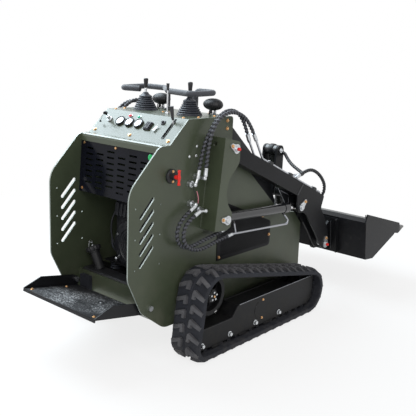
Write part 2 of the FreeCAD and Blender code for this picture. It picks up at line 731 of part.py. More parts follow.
keep("arm_crossmember", arm_crossmember())
keep("tilt_base_pin", bar_y(TILT_BASE_X, TILT_BASE_Z, -EAR_OUT - 6, EAR_OUT + 6, PIN_R))
keep_both("arm_pins",
          locked_pin(BUCKET_PIN_X, BUCKET_PIN_Z, 1588, 386, ARM_OUT, ARM_IN - 28),
          joined(plate_flag(LIFT_EYE_X, LIFT_EYE_Z, 1316, 660, -ARM_OUT - 6, -ARM_OUT),
                 bar_y(LIFT_EYE_X, LIFT_EYE_Z, -ARM_OUT - 12, -ARM_OUT, PIN_R)))


# ---------------------------------------------------------------- hose routes
HOSE_R = 7.0
FERRULE_R = 10.0
FERRULE = 42.0
LINE_R = 6.0
LINE_RISE = 34.0
INNER_Y = -338.0
OUTER_Y = -358.0

TOOL_HOSES = [
    [V(414, INNER_Y, 940), V(427, INNER_Y, 1002), V(452, INNER_Y, 1072), V(495, INNER_Y, 1139),
     V(550, INNER_Y, 1196), V(622, INNER_Y, 1222), V(695, INNER_Y, 1205), V(748, INNER_Y, 1152),
     V(778, INNER_Y, 1092)],
    [V(443, OUTER_Y, 950), V(448, OUTER_Y, 1012), V(461, OUTER_Y, 1086), V(494, OUTER_Y, 1156),
     V(556, OUTER_Y, 1203), V(633, OUTER_Y, 1213), V(707, OUTER_Y, 1192), V(768, OUTER_Y, 1147),
     V(806, OUTER_Y, 1092)],
]
CYLINDER_HOSES = [
    [V(359, INNER_Y, 744), V(311, INNER_Y, 717), V(276, INNER_Y, 674), V(272, INNER_Y, 618),
     V(306, INNER_Y, 573), V(363, INNER_Y, 560), V(423, INNER_Y, 568), V(482, INNER_Y, 580),
     V(541, INNER_Y, 588), V(596, INNER_Y, 598)],
    [V(372, OUTER_Y, 722), V(326, OUTER_Y, 701), V(296, OUTER_Y, 658), V(300, OUTER_Y, 604),
     V(338, OUTER_Y, 563), V(394, OUTER_Y, 544), V(455, OUTER_Y, 544), V(515, OUTER_Y, 556),
     V(573, OUTER_Y, 566), V(630, OUTER_Y, 572)],
]
TILT_HOSES = [
    [V(1282, INNER_Y, 815), V(1345, -334, 812), V(1385, -292, 815), V(1412, -240, 825),
     V(1440, -187, 838), V(1472, -136, 856), V(1510, -90, 873), V(1546, -52, 884), V(1557, -22, 887)],
    [V(1268, OUTER_Y, 820), V(1322, OUTER_Y, 836), V(1390, -357, 840), V(1459, -355, 816),
     V(1522, -353, 774), V(1572, -349, 718), V(1592, -330, 655), V(1589, -284, 617),
     V(1583, -222, 603), V(1584, -160, 603), V(1587, -104, 607), V(1589, -56, 611)],
]


def ferrule(route, last=False, length=FERRULE):
    """The crimped sleeve outside a hose's first or last point, and the sleeve's far end."""
    end, beside = (route[-1], route[-2]) if last else (route[0], route[1])
    far = end + (end - beside).normalize() * length
    return bar_between(end, far, FERRULE_R), far


# ---------------------------------------------------------------- cylinders
def linkage(pivot, base, eye, low, high):
    """Barrel turn per degree, and rod travel per radian, of a cylinder that turns its eye about pivot.

    Both are set where the eye is back on its pin at the high limit; turns run from +X towards +Z."""
    x, z = turned(eye.x, eye.z, high, pivot.x, pivot.z)
    ending = V(x, 0, z) - V(base.x, 0, base.z)
    start = V(eye.x, 0, eye.z) - V(base.x, 0, base.z)
    swing = math.degrees(math.atan2(ending.z, ending.x) - math.atan2(start.z, start.x))
    travel = (ending.Length - start.Length) / math.radians(high)
    closing = min(travel * math.radians(low), travel * math.radians(high), 0)
    return swing / high, travel, -closing


def cylinder_pair(base, eye, barrel_r, barrel_length, rod_r, eye_width, closing):
    """Barrel and rod of a hydraulic cylinder; closing is how far the rod still goes in."""
    way = (eye - base).normalize()
    mid_y = base.y
    floor = barrel_r + 22
    front = base + way * barrel_length
    barrel = joined(
        bar_between(base + way * (barrel_r * 0.8), front, barrel_r),
        bar_between(front - way * 46, front, barrel_r + 3),
        bar_y(base.x, base.z, mid_y - eye_width / 2, mid_y + eye_width / 2, barrel_r + 2))
    bore = bar_between(base + way * floor, front - way * 30, rod_r + 6)
    gland = bar_between(front - way * 31, front + way, rod_r + PIN_FIT)
    pin_bore = bar_y(base.x, base.z, mid_y - eye_width, mid_y + eye_width, PIN_R + PIN_FIT)
    barrel = barrel.cut(Part.makeCompound([bore, gland, pin_bore]))
    tail = base + way * (floor + closing + 6)
    rod = joined(
        bar_between(tail, eye, rod_r),
        bar_between(tail, tail + way * 24, rod_r + 5.7),
        bar_y(eye.x, eye.z, mid_y - eye_width / 2, mid_y + eye_width / 2, PIN_R + 10))
    return barrel, rod


lift_pivot = V(PIVOT_X, -ARM_MID, PIVOT_Z)
lift_base = V(LIFT_BASE_X, -ARM_MID, LIFT_BASE_Z)
lift_eye = V(LIFT_EYE_X, -ARM_MID, LIFT_EYE_Z)
LIFT_EYE_WIDTH = ARM_WIDTH - 2 * ARM_PLATE - 4
lift_swing, lift_travel, lift_closing = linkage(lift_pivot, lift_base, lift_eye, LIFT_LOW, LIFT_HIGH)
lift_barrel, lift_rod = cylinder_pair(lift_base, lift_eye, LIFT_BARREL_R, LIFT_BARREL_LENGTH,
                                      LIFT_ROD_R, LIFT_EYE_WIDTH, lift_closing)
line_sleeve, line_start = ferrule(CYLINDER_HOSES[1], True)
port_sleeve, port_start = ferrule(CYLINDER_HOSES[0], True)
LIFT_LINE = [line_start, V(1170, OUTER_Y, 546), V(1180, -356, 567), V(1134, -350, 615)]
lift_barrel = joined(
    lift_barrel,
    tube_along(LIFT_LINE, LINE_R, 9),
    line_sleeve,
    bar_between(V(690, -348, 641), V(700, OUTER_Y, 574), 5),
    port_sleeve,
    Part.makeSphere(FERRULE_R, port_start),
    bar_between(port_start, V(648, -342, 645), 7))
keep_pair("lift_barrel", lift_barrel)
keep_pair("lift_rod", lift_rod)

tilt_pivot = V(BUCKET_PIN_X, 0, BUCKET_PIN_Z)
tilt_base = V(TILT_BASE_X, 0, TILT_BASE_Z)
tilt_eye = V(TILT_EYE_X, 0, TILT_EYE_Z)
TILT_EYE_WIDTH = 2 * (EAR_OUT - EAR_PLATE) - 4
tilt_swing, tilt_travel, tilt_closing = linkage(tilt_pivot, tilt_base, tilt_eye, -TILT_BACK, -TILT_DUMP)
tilt_barrel, tilt_rod = cylinder_pair(tilt_base, tilt_eye, TILT_BARREL_R, TILT_BARREL_LENGTH,
                                      TILT_ROD_R, TILT_EYE_WIDTH, tilt_closing)
tilt_way = (tilt_eye - tilt_base).normalize()
tilt_side = V(-tilt_way.z, 0, tilt_way.x)
side_sleeve, side_start = ferrule(TILT_HOSES[0], True, 21)
low_sleeve, low_start = ferrule(TILT_HOSES[1], True, 30)
tilt_barrel = joined(
    tilt_barrel,
    side_sleeve,
    Part.makeSphere(FERRULE_R, side_start),
    bar_between(side_start, side_start - tilt_side * 34, 8),
    low_sleeve)
keep("tilt_barrel", tilt_barrel)
keep("tilt_rod", tilt_rod)

# ---------------------------------------------------------------- bucket and quick-attach plate
BACK_LOW = (1786.0, 244.0)
BACK_TOP = (1749.0, 492.0)
BUCKET_LINE = [(1790.0, 508.0), BACK_TOP, BACK_LOW, (1884.0, 234.0), (2190.0, 363.0)]
CUTTING_EDGE = [(2150, 347), (2178, 350), (2226, 340), (2306, 374), (2282, 387), (2186, 374), (2150, 360)]


def bucket():
    half = BUCKET_WIDTH / 2
    shell = bent_sheet(BUCKET_LINE, BUCKET_WALL, -half + 1, half - 1)
    end_outline = [(1769, 542), (2232, 412), (2243, 384), (2180, 366), (2166, 343), (1884, 234),
                   (1786, 244), BACK_TOP]
    ends = [plate(end_outline, y, y + BUCKET_END) for y in (-half, half - BUCKET_END)]
    edge = plate(CUTTING_EDGE, -half, half)
    return joined(shell, ends[0], ends[1], edge)


keep("bucket", bucket())

back_way = V(BACK_TOP[0] - BACK_LOW[0], 0, BACK_TOP[1] - BACK_LOW[1]).normalize()
back_out = V(-back_way.z, 0, back_way.x)


def on_back(s, out):
    """A point s up the bucket's back from its lower corner, and out behind it."""
    return (BACK_LOW[0] + back_way.x * s + back_out.x * out,
            BACK_LOW[1] + back_way.z * s + back_out.z * out)


def attach_plate():
    half = ATTACH_WIDTH / 2
    sheet = plate([on_back(14, 0), on_back(240, 0), on_back(240, ATTACH_PLATE), on_back(14, ATTACH_PLATE)],
                  -half, half)
    flanges = [plate([on_back(14, 0), on_back(240, 0), on_back(240, 34), on_back(14, 34)], y, y + ATTACH_PLATE)
               for y in (-half, half - ATTACH_PLATE)]
    hinge_outline = [on_back(20, 5), on_back(220, 5), on_back(190, 70), (1600, 388, 20),
                     (1546, 380, 36), (1550, 306, 36), (1610, 304, 20)]
    hinge_y = ARM_IN - 10
    hinges = [plate(hinge_outline, y, y + 16) for y in (-hinge_y, hinge_y - 16)]
    eye_outline = [on_back(100, 5), on_back(238, 5), (TILT_EYE_X + 4, TILT_EYE_Z + 30, 26),
                   (TILT_EYE_X - 30, TILT_EYE_Z + 4, 26), (TILT_EYE_X - 2, TILT_EYE_Z - 34, 20)]
    eyes = [plate(eye_outline, y, y + EAR_PLATE) for y in (-EAR_OUT, EAR_OUT - EAR_PLATE)]
    bores = [bar_y(BUCKET_PIN_X, BUCKET_PIN_Z, -half, half, PIN_R + PIN_FIT)]
    return joined(sheet, *flanges, *hinges, *eyes).cut(Part.makeCompound(bores))


keep("attach_plate", attach_plate())
keep("tilt_eye_caps", *[bar_y(TILT_EYE_X, TILT_EYE_Z, y, y + 8, PIN_R + 6)
                        for y in (-EAR_OUT - 8, EAR_OUT)])

# ---------------------------------------------------------------- operator platform
def on_platform(x, up):
    """A point on the platform's floor at x, measured up square to the floor."""
    a = math.radians(PLATFORM_SLOPE)
    floor_z = PLATFORM_PIVOT_Z - 36 - (x - PLATFORM_PIVOT_X) * math.tan(a)
    return (x + up * math.sin(a), floor_z + up * math.cos(a))


BUMPER_FACE = CROSS_PLATE_X - 24


def platform():
    half = PLATFORM_WIDTH / 2
    front = BUMPER_FACE - 0.5 - 1.5
    floor = plate([on_platform(PLATFORM_REAR, 0), on_platform(front, 0),
                   on_platform(front, PLATFORM_SHEET), on_platform(PLATFORM_REAR, PLATFORM_SHEET)],
                  -half, half)
    flange = [on_platform(PLATFORM_REAR, 0), on_platform(PLATFORM_REAR, 8),
              on_platform(-84, PLATFORM_FLANGE) + (8,), on_platform(120, PLATFORM_FLANGE) + (26,),
              (PLATFORM_PIVOT_X + 27, PLATFORM_PIVOT_Z + 4, 24), on_platform(front, 0)]
    sides = [plate(flange, y, y + PLATFORM_SHEET) for y in (-half, half - PLATFORM_SHEET)]
    lip = plate([on_platform(PLATFORM_REAR, -PLATFORM_LIP), on_platform(PLATFORM_REAR + 5, -PLATFORM_LIP),
                 on_platform(PLATFORM_REAR + 5, 2), on_platform(PLATFORM_REAR, 2)], -half, half)
    bores = bar_y(PLATFORM_PIVOT_X, PLATFORM_PIVOT_Z, -half - 1, half + 1, 8 + PIN_FIT)
    return joined(floor, sides[0], sides[1], lip).cut(bores)


keep("platform", platform())


def platform_bolt():
    """Pivot bolt with its head outside the side plate and its nut inside the flange."""
    half = PLATFORM_WIDTH / 2
    shaft = bar_y(PLATFORM_PIVOT_X, PLATFORM_PIVOT_Z, -HALF - 10, -half + PLATFORM_SHEET + 14, 8)
    head = bar_y(PLATFORM_PIVOT_X, PLATFORM_PIVOT_Z, -HALF - 10, -HALF, 13)
    spacer = bar_y(PLATFORM_PIVOT_X, PLATFORM_PIVOT_Z, -INNER, -half - RUN_GAP, 14)
    nut = bar_y(PLATFORM_PIVOT_X, PLATFORM_PIVOT_Z, -half + PLATFORM_SHEET + RUN_GAP,
                -half + PLATFORM_SHEET + 14, 13)
    return joined(shaft, head, spacer, nut)


keep_both("platform_bolts", platform_bolt())
keep("platform_bumper", block(BUMPER_FACE, CROSS_PLATE_X, 180, 250, 238, 322))

# ---------------------------------------------------------------- controls
HANDLE_R = 15.0
HANDLE_BEND = 28.0
GRIP_Z = DECK_HEIGHT + 105
HANDLE_LINE = [
    V(537, 219, GRIP_Z), V(503, 336, GRIP_Z), V(690, 336, GRIP_Z + 5), V(690, 178, GRIP_Z + 5),
    V(545, 15, GRIP_Z + 3), V(480, -212, GRIP_Z + 4), V(657, -212, GRIP_Z + 7), V(657, -78, GRIP_Z + 7),
    V(657, -78, DECK_HEIGHT)]
HANDLE_POST = V(650, 112, DECK_HEIGHT)
JOYSTICK_X = 525.0
JOYSTICK_Y = 160.0
LAMP_X = 672.0
LAMP_Y = 188.0
LAMP_RISE = 51.0


def handlebar():
    bar = tube_along(HANDLE_LINE, HANDLE_R, HANDLE_BEND)
    post = Part.makeCylinder(10, HANDLE_LINE[3].z - DECK_HEIGHT, HANDLE_POST)
    foot = Part.makeCylinder(24, 5, HANDLE_POST)
    return joined(bar, post, foot)


keep("handlebar", handlebar())


def joystick(x, y):
    """Bellows boot with its stem and grip."""
    z = DECK_HEIGHT
    flange = Part.makeCylinder(66, 5, V(x, y, z))
    boot = Part.makeCone(64, 36, 61, V(x, y, z + 5))
    rim = Part.makeCylinder(37, 8, V(x, y, z + 66))
    neck = Part.makeCone(34, 11, 18, V(x, y, z + 74))
    stem = Part.makeCylinder(6, 40, V(x, y, z + 84))
    grip = Part.makeCone(8, 12.5, 51, V(x, y, z + 114))
    return joined(flange, boot, rim, neck, stem, grip)


keep("joystick_left", joystick(JOYSTICK_X, JOYSTICK_Y))
keep("joystick_right", joystick(JOYSTICK_X, -JOYSTICK_Y))
auxiliary_x = 470.0
auxiliary_y = -58.0
auxiliary_lever = joined(Part.makeCylinder(4.5, 140, V(auxiliary_x, auxiliary_y, DECK_HEIGHT)),
                         Part.makeCylinder(10, 8, V(auxiliary_x, auxiliary_y, DECK_HEIGHT)),
                         Part.makeCone(6.5, 8, 35, V(auxiliary_x, auxiliary_y, DECK_HEIGHT + 117)))

throttle_x, throttle_z = on_panel(126, -7.5)
throttle_foot = V(throttle_x, PANEL_SLOT_Y, throttle_z)
throttle_knee = throttle_foot + V(-4, 1, 24)
throttle_top = throttle_foot + V(-14, 3, 90)
throttle_way = (throttle_top - throttle_knee).normalize()
throttle_lever = joined(
    plate([on_panel(118, -SHEET), on_panel(140, -SHEET), on_panel(140, -12), on_panel(118, -12)],
          PANEL_SLOT_Y - 12, PANEL_SLOT_Y + 12),
    bar_between(throttle_foot, throttle_top - throttle_way * 10, 3.5),
    Part.makeCone(6, 10.5, (throttle_top - throttle_knee).Length, throttle_knee, throttle_way))
keep("hand_levers", auxiliary_lever, throttle_lever)

panel_up = V(-math.sin(panel_slope), 0, math.cos(panel_slope))


def on_panel_face(s, y):
    p = on_panel(s)
    return V(p[0], y, p[1])


gauges = [Part.makeCylinder(27, 12, on_panel_face(96, y), panel_up) for y in (128, 61, -6)]
lamps = [Part.makeCylinder(10, 12, on_panel_face(137, y), panel_up) for y in (86, 21)]
key_switch = joined(Part.makeCylinder(15, 8, on_panel_face(98, 212), panel_up),
                    Part.makeCylinder(9, 26, on_panel_face(98, 212), panel_up))
rocker = plate([on_panel(68), on_panel(112), on_panel(112, 12), on_panel(68, 14)], -98, -62)
knob = joined(Part.makeCylinder(14, 5, on_panel_face(125, -157), panel_up),
              Part.makeCylinder(5, 14, on_panel_face(125, -157), panel_up))
keep("instruments", *gauges, *lamps, key_switch, rocker, knob)


def work_lamp(y):
    """Oval lamp on a bracket at the front of the deck, its glass forwards."""
    x = LAMP_X
    z = DECK_HEIGHT + LAMP_RISE
    body = Part.makeSphere(1.0, V(0, 0, 0))
    stretch = FreeCAD.Matrix()
    stretch.scale(V(44, 57, 31))
    body = body.transformGeometry(stretch)
    body.translate(V(x, y, z))
    face = block(x + 14, x + 60, y - 80, y + 80, z - 60, z + 60)
    stalk = Part.makeCylinder(6, 52, V(x, y, DECK_HEIGHT))
    foot = Part.makeCylinder(13, 6, V(x, y, DECK_HEIGHT))
    return joined(body.cut(face), stalk, foot)


keep("work_lamps", work_lamp(LAMP_Y), work_lamp(-LAMP_Y))

switch_x = 264
switch_z = 921
switch_handle = 37
keep("battery_switch", joined(
    bar_y(switch_x, switch_z, -HALF - 14, -HALF, 34),
    bar_y(switch_x, switch_z, -HALF - 46, -HALF, 13),
    plate([(switch_x - 8, switch_z - switch_handle, 7), (switch_x + 8, switch_z - switch_handle, 7),
           (switch_x + 8, switch_z + switch_handle, 7), (switch_x - 8, switch_z + switch_handle, 7)],
          -HALF - 62, -HALF - 44)))

# ---------------------------------------------------------------- hoses, fittings and steel lines
FITTINGS = [(390, 870, TOOL_HOSES[0]), (435, 900, TOOL_HOSES[1]),
            (398, 771, CYLINDER_HOSES[0]), (452, 735, CYLINDER_HOSES[1])]


def hose(points, r, label):
    """A hose: straight runs joined by arcs as large as the runs allow."""
    edges = []
    last = points[0]
    smallest = 1e9
    for i in range(1, len(points) - 1):
        here = points[i]
        back = points[i - 1] - here
        ahead = points[i + 1] - here
        half = back.getAngle(ahead) / 2
        reach = 0.45 * min(back.Length, ahead.Length)
        back.normalize()
        ahead.normalize()
        radius = reach * math.tan(half)
        smallest = min(smallest, radius)
        bisector = (back + ahead).normalize()
        middle = here + bisector * (radius / math.sin(half) - radius)
        start = here + back * reach
        end = here + ahead * reach
        edges.append(Part.LineSegment(last, start).toShape())
        edges.append(Part.Arc(start, middle, end).toShape())
        last = end
    edges.append(Part.LineSegment(last, points[-1]).toShape())
    path = Part.Wire(edges)
    ring = Part.Wire([Part.makeCircle(r, points[0], points[1] - points[0])])
    tube = path.makePipeShell([ring], True, True)
    ideal = math.pi * r * r * path.Length
    print("hose", label, "length %.0f smallest radius %.0f volume ratio %.4f"
          % (path.Length, smallest, tube.Volume / ideal))
    return tube


def hoses(label, routes):
    return [hose(route, HOSE_R, label) for route in routes]


keep_pair("tool_hoses", *hoses("tool", TOOL_HOSES))
keep_pair("cylinder_hoses", *hoses("cylinder", CYLINDER_HOSES))
keep("tilt_hoses", *hoses("tilt", TILT_HOSES))


def plate_fitting(x, z, route):
    """Bulkhead fitting on the side plate, with an elbow to the hose's ferrule."""
    sleeve, end = ferrule(route)
    turn = V(x, end.y, z)
    return joined(
        bar_y(x, z, -HALF - 20, -HALF, 16),
        bar_y(x, z, end.y, -HALF, 9),
        Part.makeSphere(11, turn),
        bar_between(turn, end, 7),
        Part.makeSphere(7.5, end),
        sleeve)


keep_both("hose_fittings", *[plate_fitting(x, z, route) for x, z, route in FITTINGS])


def on_arm(s, off, y):
    p = along_arm(s, off)
    return V(p[0], y, p[1])


def arm_clamp(s):
    low = ARM_TOP_OFFSET
    return plate([along_arm(s, low), along_arm(s, low + 17), along_arm(s + 26, low + 17),
                  along_arm(s + 26, low)], OUTER_Y - 13, INNER_Y + 13)


def arm_line(route, bend, end):
    """Steel line from a tool hose's ferrule down to the arm and along its top."""
    sleeve, start = ferrule(route, True)
    line = [start, on_arm(bend, LINE_RISE, start.y), on_arm(end, LINE_RISE, start.y)]
    return joined(tube_along(line, LINE_R, 30), sleeve, Part.makeSphere(7, start))


def arm_lines(ends):
    bends = (225, 278)
    lines = [arm_line(TOOL_HOSES[i], bends[i], ends[i]) for i in (0, 1)]
    return lines + [arm_clamp(s) for s in (345, 560)]


def branch(route, s):
    """Elbow that lifts a tilt hose's ferrule off the arm's line."""
    sleeve, start = ferrule(route)
    return [sleeve, bar_between(on_arm(s, LINE_RISE, route[0].y), start, 7),
            Part.makeSphere(7.5, start)]


def coupling(end, y):
    return bar_between(on_arm(end - 40, LINE_RISE, y), on_arm(end + 12, LINE_RISE, y), 7.6)


right_lines = arm_lines((612, 925))
right_lines += branch(TILT_HOSES[0], 607) + branch(TILT_HOSES[1], 602)
right_lines += [arm_clamp(845), coupling(925, OUTER_Y)]
left_lines = arm_lines((925, 925))
left_lines += [arm_clamp(845), coupling(925, INNER_Y), coupling(925, OUTER_Y)]
keep("arm_pipes", joined(*right_lines), mirrored(joined(*left_lines)))

# ---------------------------------------------------------------- write
LIP_TIP = max(x for x, z in CUTTING_EDGE)
X_SHIFT = -(LIP_TIP + on_platform(PLATFORM_REAR, -PLATFORM_LIP)[0]) / 2

os.makedirs("parts", exist_ok=True)
for name, shape in NODES.items():
    moved = shape.copy()
    moved.translate(V(X_SHIFT, 0, 0))
    moved.exportStep("parts/" + name + ".step")
    solids = len(moved.Solids)
    print("%-22s solids %d valid %s volume %.0f" % (name, solids, moved.isValid(), moved.Volume))
    if abs(moved.Volume) < 1:
        raise ValueError(name + " has no volume")

total = Part.makeCompound(list(NODES.values()))
box = total.BoundBox
print("shift", X_SHIFT, "box", box.XMin + X_SHIFT, box.XMax + X_SHIFT, box.YMin, box.YMax, box.ZMin, box.ZMax)
print("nodes", len(NODES))


def placed(x, z):
    """A pivot's X and Z in metres, from the finished origin."""
    return "%.5f, %.5f" % ((x + X_SHIFT) / 1000, z / 1000)


for label, x, z in (("arm_lift", PIVOT_X, PIVOT_Z), ("bucket_tilt", BUCKET_PIN_X, BUCKET_PIN_Z),
                    ("platform_fold", PLATFORM_PIVOT_X, PLATFORM_PIVOT_Z),
                    ("lift barrel", LIFT_BASE_X, LIFT_BASE_Z), ("tilt barrel", TILT_BASE_X, TILT_BASE_Z)):
    print("pivot of", label, placed(x, z))
for label, base, eye, swing, travel in (("lift", lift_base, lift_eye, lift_swing, lift_travel),
                                        ("tilt", tilt_base, tilt_eye, tilt_swing, tilt_travel)):
    way = (eye - base).normalize()
    print(label, "cylinder way %.6f, %.6f swing per degree %.6f travel per radian %.6f m"
          % (way.x, way.z, swing, travel / 1000))
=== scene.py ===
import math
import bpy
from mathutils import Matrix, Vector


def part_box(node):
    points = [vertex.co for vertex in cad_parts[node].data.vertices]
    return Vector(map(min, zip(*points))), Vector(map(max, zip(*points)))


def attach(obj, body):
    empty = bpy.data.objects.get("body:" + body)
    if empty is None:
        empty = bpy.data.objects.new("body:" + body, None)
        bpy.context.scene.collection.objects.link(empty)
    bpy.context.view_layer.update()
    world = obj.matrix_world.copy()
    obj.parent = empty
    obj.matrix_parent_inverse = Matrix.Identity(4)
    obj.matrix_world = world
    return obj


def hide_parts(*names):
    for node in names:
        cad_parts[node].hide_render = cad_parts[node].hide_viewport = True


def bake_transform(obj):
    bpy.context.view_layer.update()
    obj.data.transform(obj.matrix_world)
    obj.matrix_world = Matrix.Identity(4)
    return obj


bl_info = {
    "name": "Mini track loader",
    "version": (1, 0, 0),
    "blender": (4, 5, 0),
    "location": "3D View > Sidebar > Loader",
    "description": "Finishes and fine parts of a stand-on mini track loader",
    "category": "Object",
}

import bpy
import numpy as np
from bpy.props import FloatProperty, FloatVectorProperty, IntProperty, PointerProperty
from mathutils import Matrix

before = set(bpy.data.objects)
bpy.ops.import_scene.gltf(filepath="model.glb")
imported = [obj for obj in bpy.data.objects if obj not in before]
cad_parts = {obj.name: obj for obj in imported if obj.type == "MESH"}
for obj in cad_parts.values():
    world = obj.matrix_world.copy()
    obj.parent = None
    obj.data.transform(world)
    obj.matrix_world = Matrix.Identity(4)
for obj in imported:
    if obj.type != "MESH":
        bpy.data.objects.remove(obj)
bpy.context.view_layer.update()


def far_side(node):
    """How far a right-hand node's outer face is from the machine's middle."""
    return -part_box(node)[0].y * 1000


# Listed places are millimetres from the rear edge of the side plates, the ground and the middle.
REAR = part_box("side_plate_right")[0].x
PLATE_OUT = far_side("side_plate_right")
PLATE_IN = PLATE_OUT - 8
TOWER_OUT = far_side("lift_tower_right")
ARM_OUT = far_side("loader_arm_right")
TRACK_OUT = far_side("track_right")
TRACK_IN = -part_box("track_right")[1].y * 1000
TRACK_MID = (TRACK_OUT + TRACK_IN) / 2
TRACK_HALF = (TRACK_OUT - TRACK_IN) / 2
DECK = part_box("control_deck")[1].z * 1000
# Axes of the turning parts, as (x, z).
PIVOT, LIFT_BASE, LIFT_EYE = (627, 1032), (582, 672), (1284, 632)
BUCKET_PIN, TILT_BASE, CROSS_TUBE = (1584, 348), (1490, 905), (1482, 655)
SPROCKET, REAR_ROLLER, IDLER = (442, 315), (348, 82), (1275, 140)
ARM_SLOPE = math.radians(23.65)
PANEL_FOOT = (254.0, 1067.0)
PANEL_SLOPE = math.atan2(115.0, 122.0)
TURN = 2 * math.pi


# ---------------------------------------------------------------- sizes and colours
def length(name, description, default):
    return FloatProperty(name=name, description=description, default=default, min=0.0, unit="LENGTH")


def colour(name, description, default):
    return FloatVectorProperty(name=name, description=description, default=default, size=3, min=0.0,
                               max=1.0, subtype="COLOR")


class LoaderColours(bpy.types.PropertyGroup):
    body: colour("Body paint", "Olive green powder coat", (0.050, 0.062, 0.036))
    black: colour("Black paint", "Satin black powder coat", (0.0078, 0.0080, 0.0094))
    rubber: colour("Rubber", "Track carcass and bumpers", (0.0190, 0.0205, 0.0270))
    lug: colour("Lug tops", "Scuffed tops of the track's lugs", (0.084, 0.083, 0.090))
    zinc: colour("Zinc plate", "Fittings, pins and steel lines", (0.62, 0.64, 0.66))
    bolt: colour("Yellow zinc", "Small bolts", (0.72, 0.44, 0.22))
    wrap: colour("Hose wrap", "Spiral guard round the hoses", (0.048, 0.050, 0.062))
    foam: colour("Foam grip", "Sleeve of the handlebar", (0.036, 0.038, 0.046))
    signal: colour("Signal red", "Isolator handle and grease caps", (0.72, 0.022, 0.016))


class LoaderSizes(bpy.types.PropertyGroup):
    hose: length("Hose", "Diameter of a hose under its wrap", 0.0136)
    wrap_rise: length("Wrap", "How far the spiral wrap stands off a hose", 0.0035)
    wrap_pitch: length("Wrap pitch", "Length of hose in one turn of the wrap", 0.021)
    lug_height: length("Lug height", "Height of the track's lugs", 0.014)
    lug_pitch: length("Lug pitch", "Spacing of the lugs round the track", 0.072)
    bellows_fold: length("Bellows fold", "Depth of a fold of a joystick's boot", 0.0085)
    bolt_head: length("Bolt head", "Width across a small bolt's head", 0.013)
    guide_lugs: IntProperty(name="Guide lugs", description="Guide lugs inside each track", default=44,
                            min=8, max=80)


class LoaderStage(bpy.types.PropertyGroup):
    floor: colour("Floor", "Pale studio floor", (0.86, 0.86, 0.86))
    sky: FloatProperty(name="Sky", description="Strength of the studio's fill light", default=0.60, min=0.0)
    key: FloatProperty(name="Key", description="Strength of the key softbox", default=250.0, min=0.0,
                       unit="POWER")
    side: FloatProperty(name="Side", description="Strength of the side softbox", default=40.0, min=0.0,
                        unit="POWER")


# ---------------------------------------------------------------- surfaces
def unit(v):
    """The same direction with length 1."""
    v = np.asarray(v, float)
    return v / np.linalg.norm(v, axis=-1, keepdims=True)


def square_to(way):
    """Two unit directions u and v square to way, with u x v = way."""
    way = unit(way)
    side = np.array([0.0, 1.0, 0.0]) if abs(way[1]) < 0.9 else np.array([1.0, 0.0, 0.0])
    u = unit(np.cross(side, way))
    return u, np.cross(way, u)


def turned(profile, foot, way, sides=24, squash=1.0):
    """A profile of (radius, height) carried round an axis, foot + height * way
    + radius * (cos t u + sin t v), with the v part squashed by a factor for oval parts."""
    u, v = square_to(way)
    t = np.arange(sides) * TURN / sides
    radius, height = np.asarray(profile, float).T
    ring = np.cos(t)[:, None] * u + squash * np.sin(t)[:, None] * v
    return np.asarray(foot, float) + height[:, None, None] * unit(way) + radius[:, None, None] * ring


def ring_of(count, across=1.0, down=1.0, first=0.0):
    """Points round an oval: (across cos t, down sin t)."""
    t = first + np.linspace(0, TURN, count, endpoint=False)
    return np.stack([across * np.cos(t), down * np.sin(t)], 1)


def rect(a0, a1, b0, b1):
    """A rectangle's corners in order, from a0 to a1 and from b0 to b1."""
    return [(a0, b0), (a1, b0), (a1, b1), (a0, b1)]


def slab(outline, foot, u, way, low, high):
    """A flat outline (a, b) carried along way from low to high: foot + a u + b (way x u) + h way."""
    a, b = np.asarray(outline, float).T
    if np.sum(a * np.roll(b, -1) - b * np.roll(a, -1)) < 0:
        a, b = a[::-1], b[::-1]
    u, way = unit(u), unit(way)
    flat = np.asarray(foot, float) + a[:, None] * u + b[:, None] * np.cross(way, u)
    return np.stack([flat + low * way, flat + high * way])


def carried(path, radius, sides=12):
    """A ring carried along a path on a pair of axes that don't twist: path + r(s, t)(cos t u + sin t v).
    radius is one number or a grid of stations by sides."""
    path = np.asarray(path, float)
    way = unit(np.gradient(path, axis=0))
    u = np.empty_like(path)
    u[0] = square_to(way[0])[0]
    for i in range(1, len(path)):
        u[i] = unit(u[i - 1] - way[i] * np.dot(u[i - 1], way[i]))
    v = np.cross(way, u)
    t = np.arange(sides) * TURN / sides
    ring = np.cos(t)[None, :, None] * u[:, None] + np.sin(t)[None, :, None] * v[:, None]
    radius = np.broadcast_to(radius, (len(path), sides))
    return path[:, None] + radius[..., None] * ring


